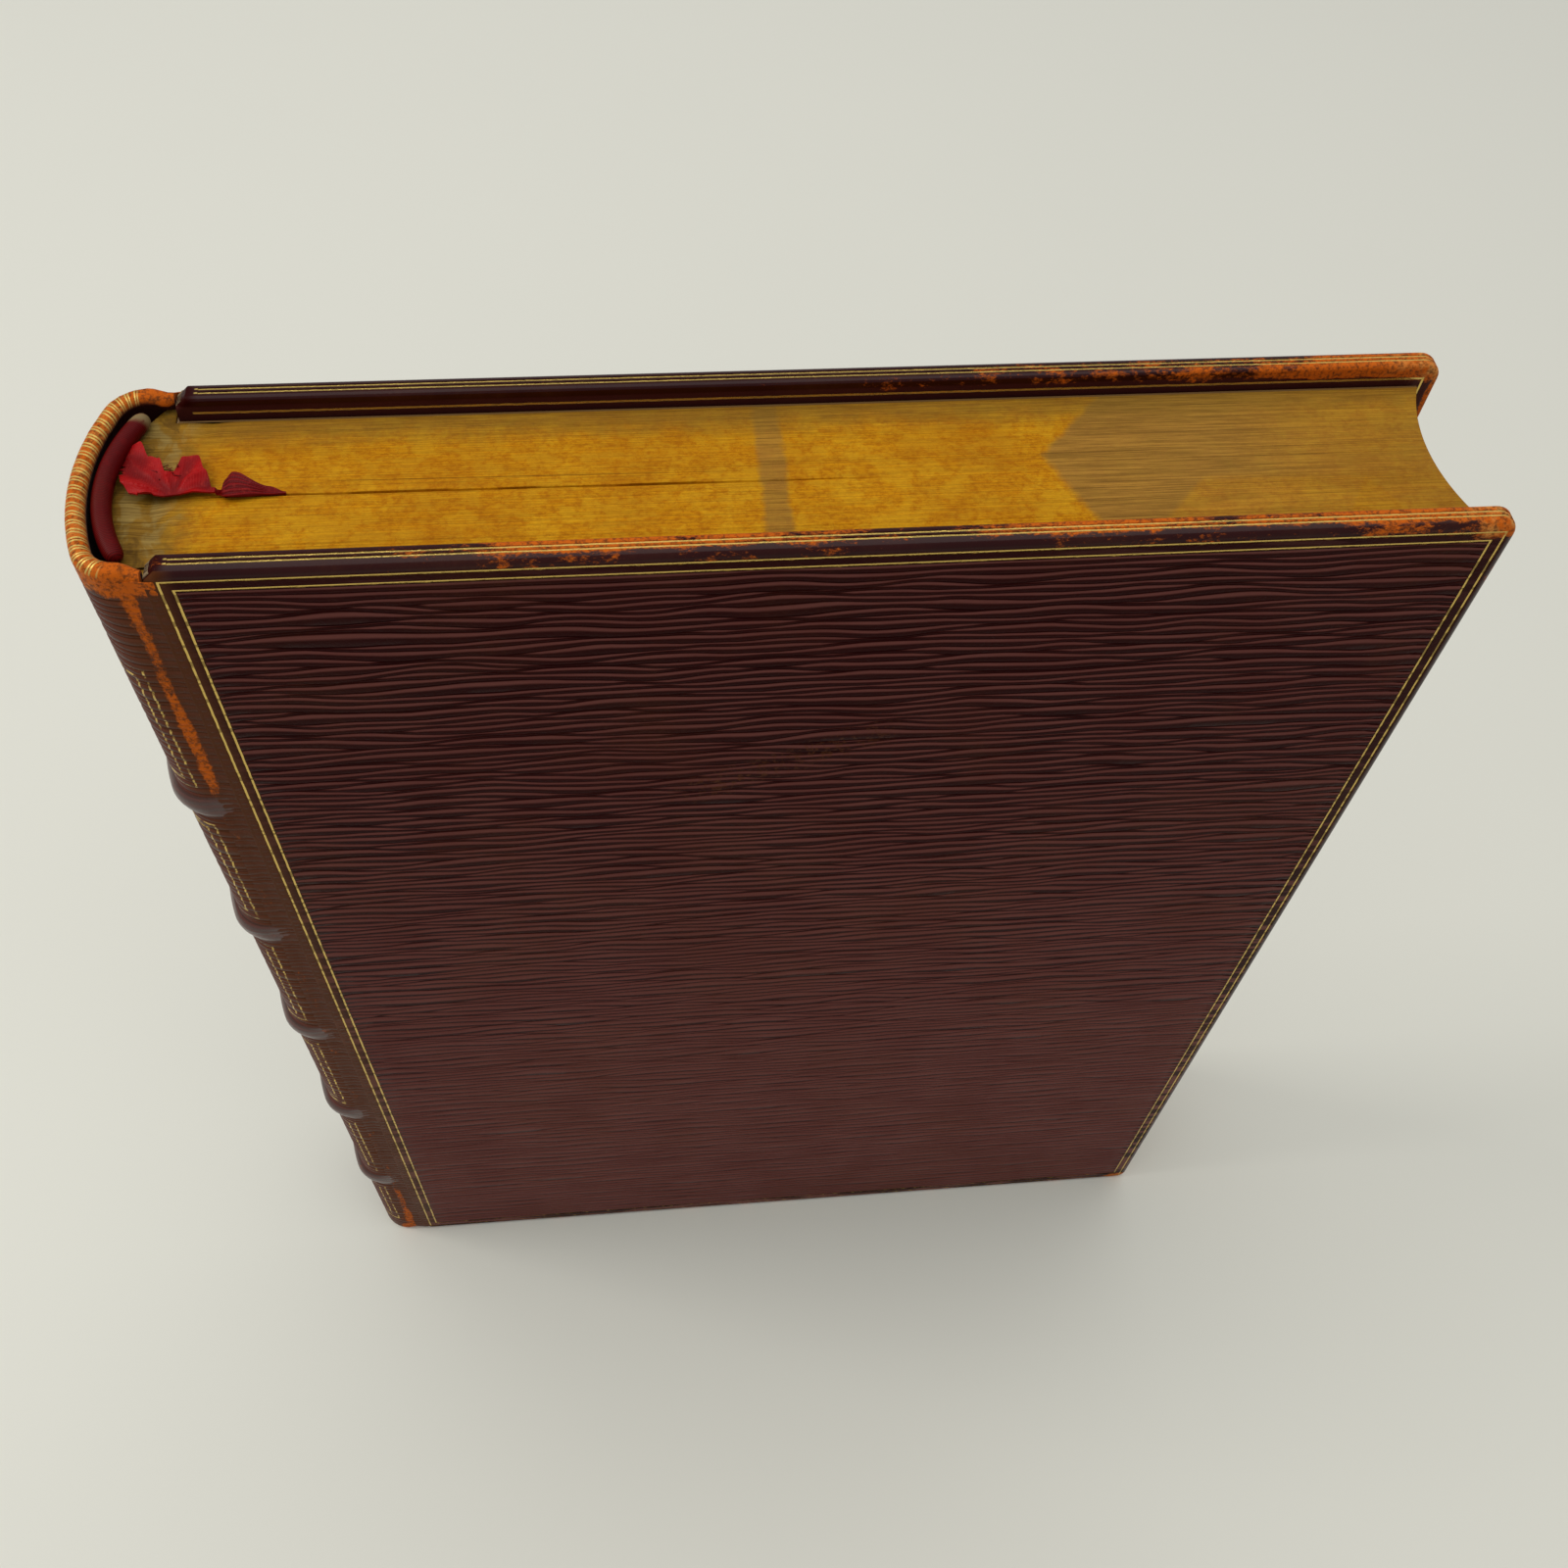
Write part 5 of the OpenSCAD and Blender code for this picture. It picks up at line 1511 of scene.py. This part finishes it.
def end_band(node_box, tail):
    """A band wound with silk thread over a core, following the rounded back."""
    low, high = node_box
    back_x, back_r = back_arc()
    radius = 1.1 * MM
    span = math.asin(LEAVES_Y / back_r)
    turns = 96
    rings, sides = turns * 4, 16
    up = 1 if tail else -1
    middle = high.z - radius if tail else low.z + radius

    def shape(column, row):
        angle = span * (2 * row / rings - 1)
        around = 2 * math.pi * column / sides
        phase = turns * row / rings + 0.35 * math.sin(around)
        groove = abs(math.sin(math.pi * phase))
        swell = radius * (1.0 + 0.06 * groove ** 0.6)
        closing = math.sqrt(max(0.0, 1 - (abs(2 * row / rings - 1)) ** 24))
        swell *= max(0.05, closing)
        out = back_r + swell * math.cos(around)
        point = Vector((back_x - out * math.cos(angle), out * math.sin(angle),
                        middle + up * swell * math.sin(around)))
        # The groove value, kept as thread, is 0 between the turns, where shade is painted, and 1 on
        # their crowns
        return point, groove

    made = mapped_grid(sides, rings, shape, True, "thread")
    join_into(made, end_band_tongue(back_x, back_r, span, middle, low.z if tail else high.z))
    return made


def end_band_tongue(back_x, back_r, span, middle, far):
    """The cloth tongue that holds an end band to the lining."""
    steps = 20
    inner, outer = back_r + 0.6 * MM, back_r + 0.9 * MM
    section = ((inner, middle), (outer, middle), (outer, far), (inner, far))

    def shape(column, row):
        out, z = section[column]
        angle = 0.93 * span * (2 * row / steps - 1)
        return Vector((back_x - out * math.cos(angle), out * math.sin(angle), z)), 0.5

    return mapped_grid(4, steps, shape, True, "thread")


def bend_at_joint(piece, side, near, far):
    """Bakes a piece's place into its mesh, without bending it; the side and both distances are not
    used.
    """
    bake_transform(piece)


def dress_node(name, material):
    """Gives a piece of the frame its finish."""
    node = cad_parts[name]
    node.data.materials.clear()
    node.data.materials.append(material)


# Operators


class BOOK_OT_finishes(bpy.types.Operator):
    """Make the shared effects that the book's finishes use"""

    bl_idname = "book.finishes"
    bl_label = "Shared Finishes"

    def execute(self, context):
        for make in (make_wear_group, make_skin_group, make_gilt_group, make_soil_group):
            make()
        return {"FINISHED"}


class BOOK_OT_leaves(bpy.types.Operator):
    """Make the sewn leaves with their gilt edges"""

    bl_idname = "book.leaves"
    bl_label = "Leaves"

    def execute(self, context):
        piece = keep_piece(leaf_block(), "gilt_text_block", gilt_leaf_material(), "book_block",
                           ["text_block"], sharp=75)
        check_faces(piece, "the leaves' edges")
        return {"FINISHED"}


class BOOK_OT_endpapers(bpy.types.Operator):
    """Finish the free endleaves and pastedowns, and fold paper into both gutters"""

    bl_idname = "book.endpapers"
    bl_label = "Endpapers"

    def execute(self, context):
        paper = paper_material("endpaper", False)
        gilt_edged = paper_material("free_endpaper", True)
        for side in SIDES:
            dress_node(f"{side}_free_endleaf", gilt_edged)
            dress_node(f"{side}_pastedown", paper)
            piece = keep_piece(paper_joint(side), f"{side}_paper_joint", paper, None)
            wall = piece.modifiers.new("Thickness", "SOLIDIFY")
            wall.thickness = 0.04 * MM
            wall.offset = 0.0
            bend_at_joint(piece, side, *PAPER_FOLD)
        return {"FINISHED"}


class BOOK_OT_covers(bpy.types.Operator):
    """Make both covers' straight-grained leather with its gilt lines"""

    bl_idname = "book.covers"
    bl_label = "Covers"

    def execute(self, context):
        for side in SIDES:
            piece = keep_piece(grain_cover(side), f"{side}_morocco", cover_material(side),
                               f"{side}_cover", [f"{side}_cover_leather"])
            even_normals(piece)
            check_faces(piece, f"the {side} cover's grain")
        return {"FINISHED"}


class BOOK_OT_spine(bpy.types.Operator):
    """Make the spine's leather with raised bands and rolled caps"""

    bl_idname = "book.spine"
    bl_label = "Spine"

    def execute(self, context):
        piece = keep_piece(spine_skin(), "spine_morocco", spine_material(), "book_block",
                           ["spine_leather"], sharp=60)
        check_faces(piece, "its bands and grain")
        return {"FINISHED"}


class BOOK_OT_joints(bpy.types.Operator):
    """Make the leather that covers both joints"""

    bl_idname = "book.joints"
    bl_label = "Leather Joints"

    def execute(self, context):
        material = joint_material()
        for side in SIDES:
            piece = keep_piece(joint_skin(side), f"{side}_joint_morocco", material, None,
                               sharp=60)
            bend_at_joint(piece, side, -0.5 * MM, 0.3 * MM)
        return {"FINISHED"}


class BOOK_OT_end_bands(bpy.types.Operator):
    """Make the silk-wound bands at the head and tail"""

    bl_idname = "book.end_bands"
    bl_label = "End Bands"

    def execute(self, context):
        material = end_band_material()
        for name, box in END_BANDS.items():
            keep_piece(end_band(box, name == "tail_band"), f"silk_{name}", material,
                       "book_block", [name], sharp=70)
        return {"FINISHED"}


class BOOK_OT_ribbon(bpy.types.Operator):
    """Make the crumpled, frayed ribbon marker"""

    bl_idname = "book.ribbon"
    bl_label = "Ribbon"

    def execute(self, context):
        sizes = context.scene.book_ribbon
        made = ribbon()
        grown = bmesh.ops.extrude_face_region(made, geom=made.faces[:])["geom"]
        bmesh.ops.translate(made, vec=(0, 0, sizes.thickness),
                            verts=[g for g in grown if isinstance(g, bmesh.types.BMVert)])
        join_into(made, ribbon_strip())
        for points in frayed_ways():
            join_into(made, thread(points, sizes.thread))
        keep_piece(made, "silk_ribbon", silk_material(), "book_block",
                   ["ribbon_marker"], sharp=60)
        return {"FINISHED"}


class BOOK_OT_inner_pieces(bpy.types.Operator):
    """Finish the cords, boards, lining and tube inside the binding"""

    bl_idname = "book.inner_pieces"
    bl_label = "Inner Pieces"

    def execute(self, context):
        tones = context.scene.book_colours
        hemp = fibre_material("hemp_cord", tones.hemp, (1.0, 1.0, 4.0))
        board = fibre_material("millboard", tones.millboard, (0.4, 3.0, 0.4))
        paper = fibre_material("brown_paper", tones.brown_paper, (0.6, 0.6, 1.2))
        band = fibre_material("band_leather", tones.rubbed, (1.0, 1.0, 1.0), 0.7)
        for i in range(BAND_COUNT):
            dress_node(f"sewing_cord_{i + 1}", hemp)
            dress_node(f"raised_band_{i + 1}", band)
        for name in ("head_cap_cord", "tail_cap_cord", "rear_cord_slips", "front_cord_slips"):
            dress_node(name, hemp)
        for side in SIDES:
            dress_node(f"{side}_board", board)
        dress_node("spine_lining", paper)
        dress_node("spine_tube", paper)
        return {"FINISHED"}


# The studio: lamps by name, place, size and power, and the camera as solved from the photograph
WORLD_COLOUR = (0.93, 0.95, 0.97, 1.0)
WORLD_STRENGTH = 0.46
LAMPS = (("ceiling", (0.0, 0.05, 1.6), 1.7, 12.0), ("key", (-1.0, 0.12, 1.15), 0.5, 5.8))
LAMP_COLOUR = (1.0, 0.985, 0.955)
LAMP_TARGET = Vector((0, 0, 0.1))
CAMERA_PLACE = (-0.01971, -0.13722, 0.34204)
# Turns of the camera about Z, about its own side and about its line of sight, in degrees
CAMERA_ANGLES = (-8.788, -54.952, 4.309)
CAMERA_LENS = 35.42
SENSOR_WIDTH = 36.0


class BOOK_OT_studio(bpy.types.Operator):
    """Make the pale floor, the soft lamps and the camera"""

    bl_idname = "book.studio"
    bl_label = "Studio"

    def execute(self, context):
        self.floor(context)
        self.lamps(context)
        self.camera(context)
        context.scene.view_settings.view_transform = "Standard"
        return {"FINISHED"}

    def floor(self, context):
        made = bmesh.new()
        bmesh.ops.create_grid(made, x_segments=2, y_segments=2, size=3.0)
        mesh = bpy.data.meshes.new("studio_floor")
        made.to_mesh(mesh)
        made.free()
        floor = bpy.data.objects.new("studio_floor", mesh)
        context.scene.collection.objects.link(floor)
        self.finish_floor(mesh, context.scene.book_colours.floor)

    def finish_floor(self, mesh, tone):
        material, shade, surface = new_material("studio_floor")
        spot, *_ = shade.place()
        mottled = shade.cloud(spot, 9.0, 4.0, 0.55)
        shade.feed(surface["Base Color"], shade.mix(
            shade.maths("MULTIPLY", mottled, 0.12), tone, tuple(v * 0.85 for v in tone)))
        surface["Roughness"].default_value = 0.55
        surface["Specular IOR Level"].default_value = 0.3
        mesh.materials.append(material)

    def lamps(self, context):
        world = bpy.data.worlds.new("studio")
        world.use_nodes = True
        sky = world.node_tree.nodes["Background"].inputs
        sky["Color"].default_value = WORLD_COLOUR
        sky["Strength"].default_value = WORLD_STRENGTH
        context.scene.world = world
        for name, place, size, power in LAMPS:
            lamp = bpy.data.lights.new(name, "AREA")
            lamp.size = size
            lamp.energy = power
            lamp.color = LAMP_COLOUR
            holder = bpy.data.objects.new(name, lamp)
            holder.location = place
            aim = LAMP_TARGET - Vector(place)
            holder.rotation_euler = aim.to_track_quat("-Z", "Y").to_euler()
            context.scene.collection.objects.link(holder)

    def camera(self, context):
        yaw, pitch, roll = (math.radians(angle) for angle in CAMERA_ANGLES)
        turn = Matrix.Rotation(yaw, 3, "Z") @ Matrix.Rotation(pitch, 3, "X")
        right, forward, up = turn.col[0], turn.col[1], turn.col[2]
        side = math.cos(roll) * right + math.sin(roll) * up
        top = math.cos(roll) * up - math.sin(roll) * right
        data = bpy.data.cameras.new("photo_camera")
        data.sensor_fit = "HORIZONTAL"
        data.sensor_width = SENSOR_WIDTH
        data.lens = CAMERA_LENS
        data.clip_start = 10 * MM
        holder = bpy.data.objects.new("photo_camera", data)
        context.scene.collection.objects.link(holder)
        axes = Matrix((side, top, -forward)).transposed().to_4x4()
        holder.matrix_world = Matrix.Translation(CAMERA_PLACE) @ axes
        context.scene.camera = holder


class BOOK_PT_panel(bpy.types.Panel):
    """Buttons that build the book's pieces one after another"""

    bl_label = "Antique Book"
    bl_idname = "BOOK_PT_panel"
    bl_space_type = "VIEW_3D"
    bl_region_type = "UI"
    bl_category = "Book"

    def draw(self, context):
        for operator in OPERATORS:
            self.layout.operator(operator.bl_idname)


OPERATORS = (BOOK_OT_finishes, BOOK_OT_leaves, BOOK_OT_endpapers, BOOK_OT_covers, BOOK_OT_spine,
             BOOK_OT_joints, BOOK_OT_end_bands, BOOK_OT_ribbon, BOOK_OT_inner_pieces,
             BOOK_OT_studio)


def register():
    for group in GROUPS.values():
        bpy.utils.register_class(group)
    for name, group in GROUPS.items():
        setattr(bpy.types.Scene, name, PointerProperty(type=group))
    for operator in OPERATORS:
        bpy.utils.register_class(operator)
    bpy.utils.register_class(BOOK_PT_panel)


def unregister():
    bpy.utils.unregister_class(BOOK_PT_panel)
    for operator in reversed(OPERATORS):
        bpy.utils.unregister_class(operator)
    for name, group in GROUPS.items():
        delattr(bpy.types.Scene, name)
        bpy.utils.unregister_class(group)


def main():
    """Builds the whole book."""
    register()
    bpy.ops.book.finishes()
    bpy.ops.book.leaves()
    bpy.ops.book.endpapers()
    bpy.ops.book.covers()
    bpy.ops.book.spine()
    bpy.ops.book.joints()
    bpy.ops.book.end_bands()
    bpy.ops.book.ribbon()
    bpy.ops.book.inner_pieces()
    bpy.ops.book.studio()


if __name__ == "__main__":
    main()
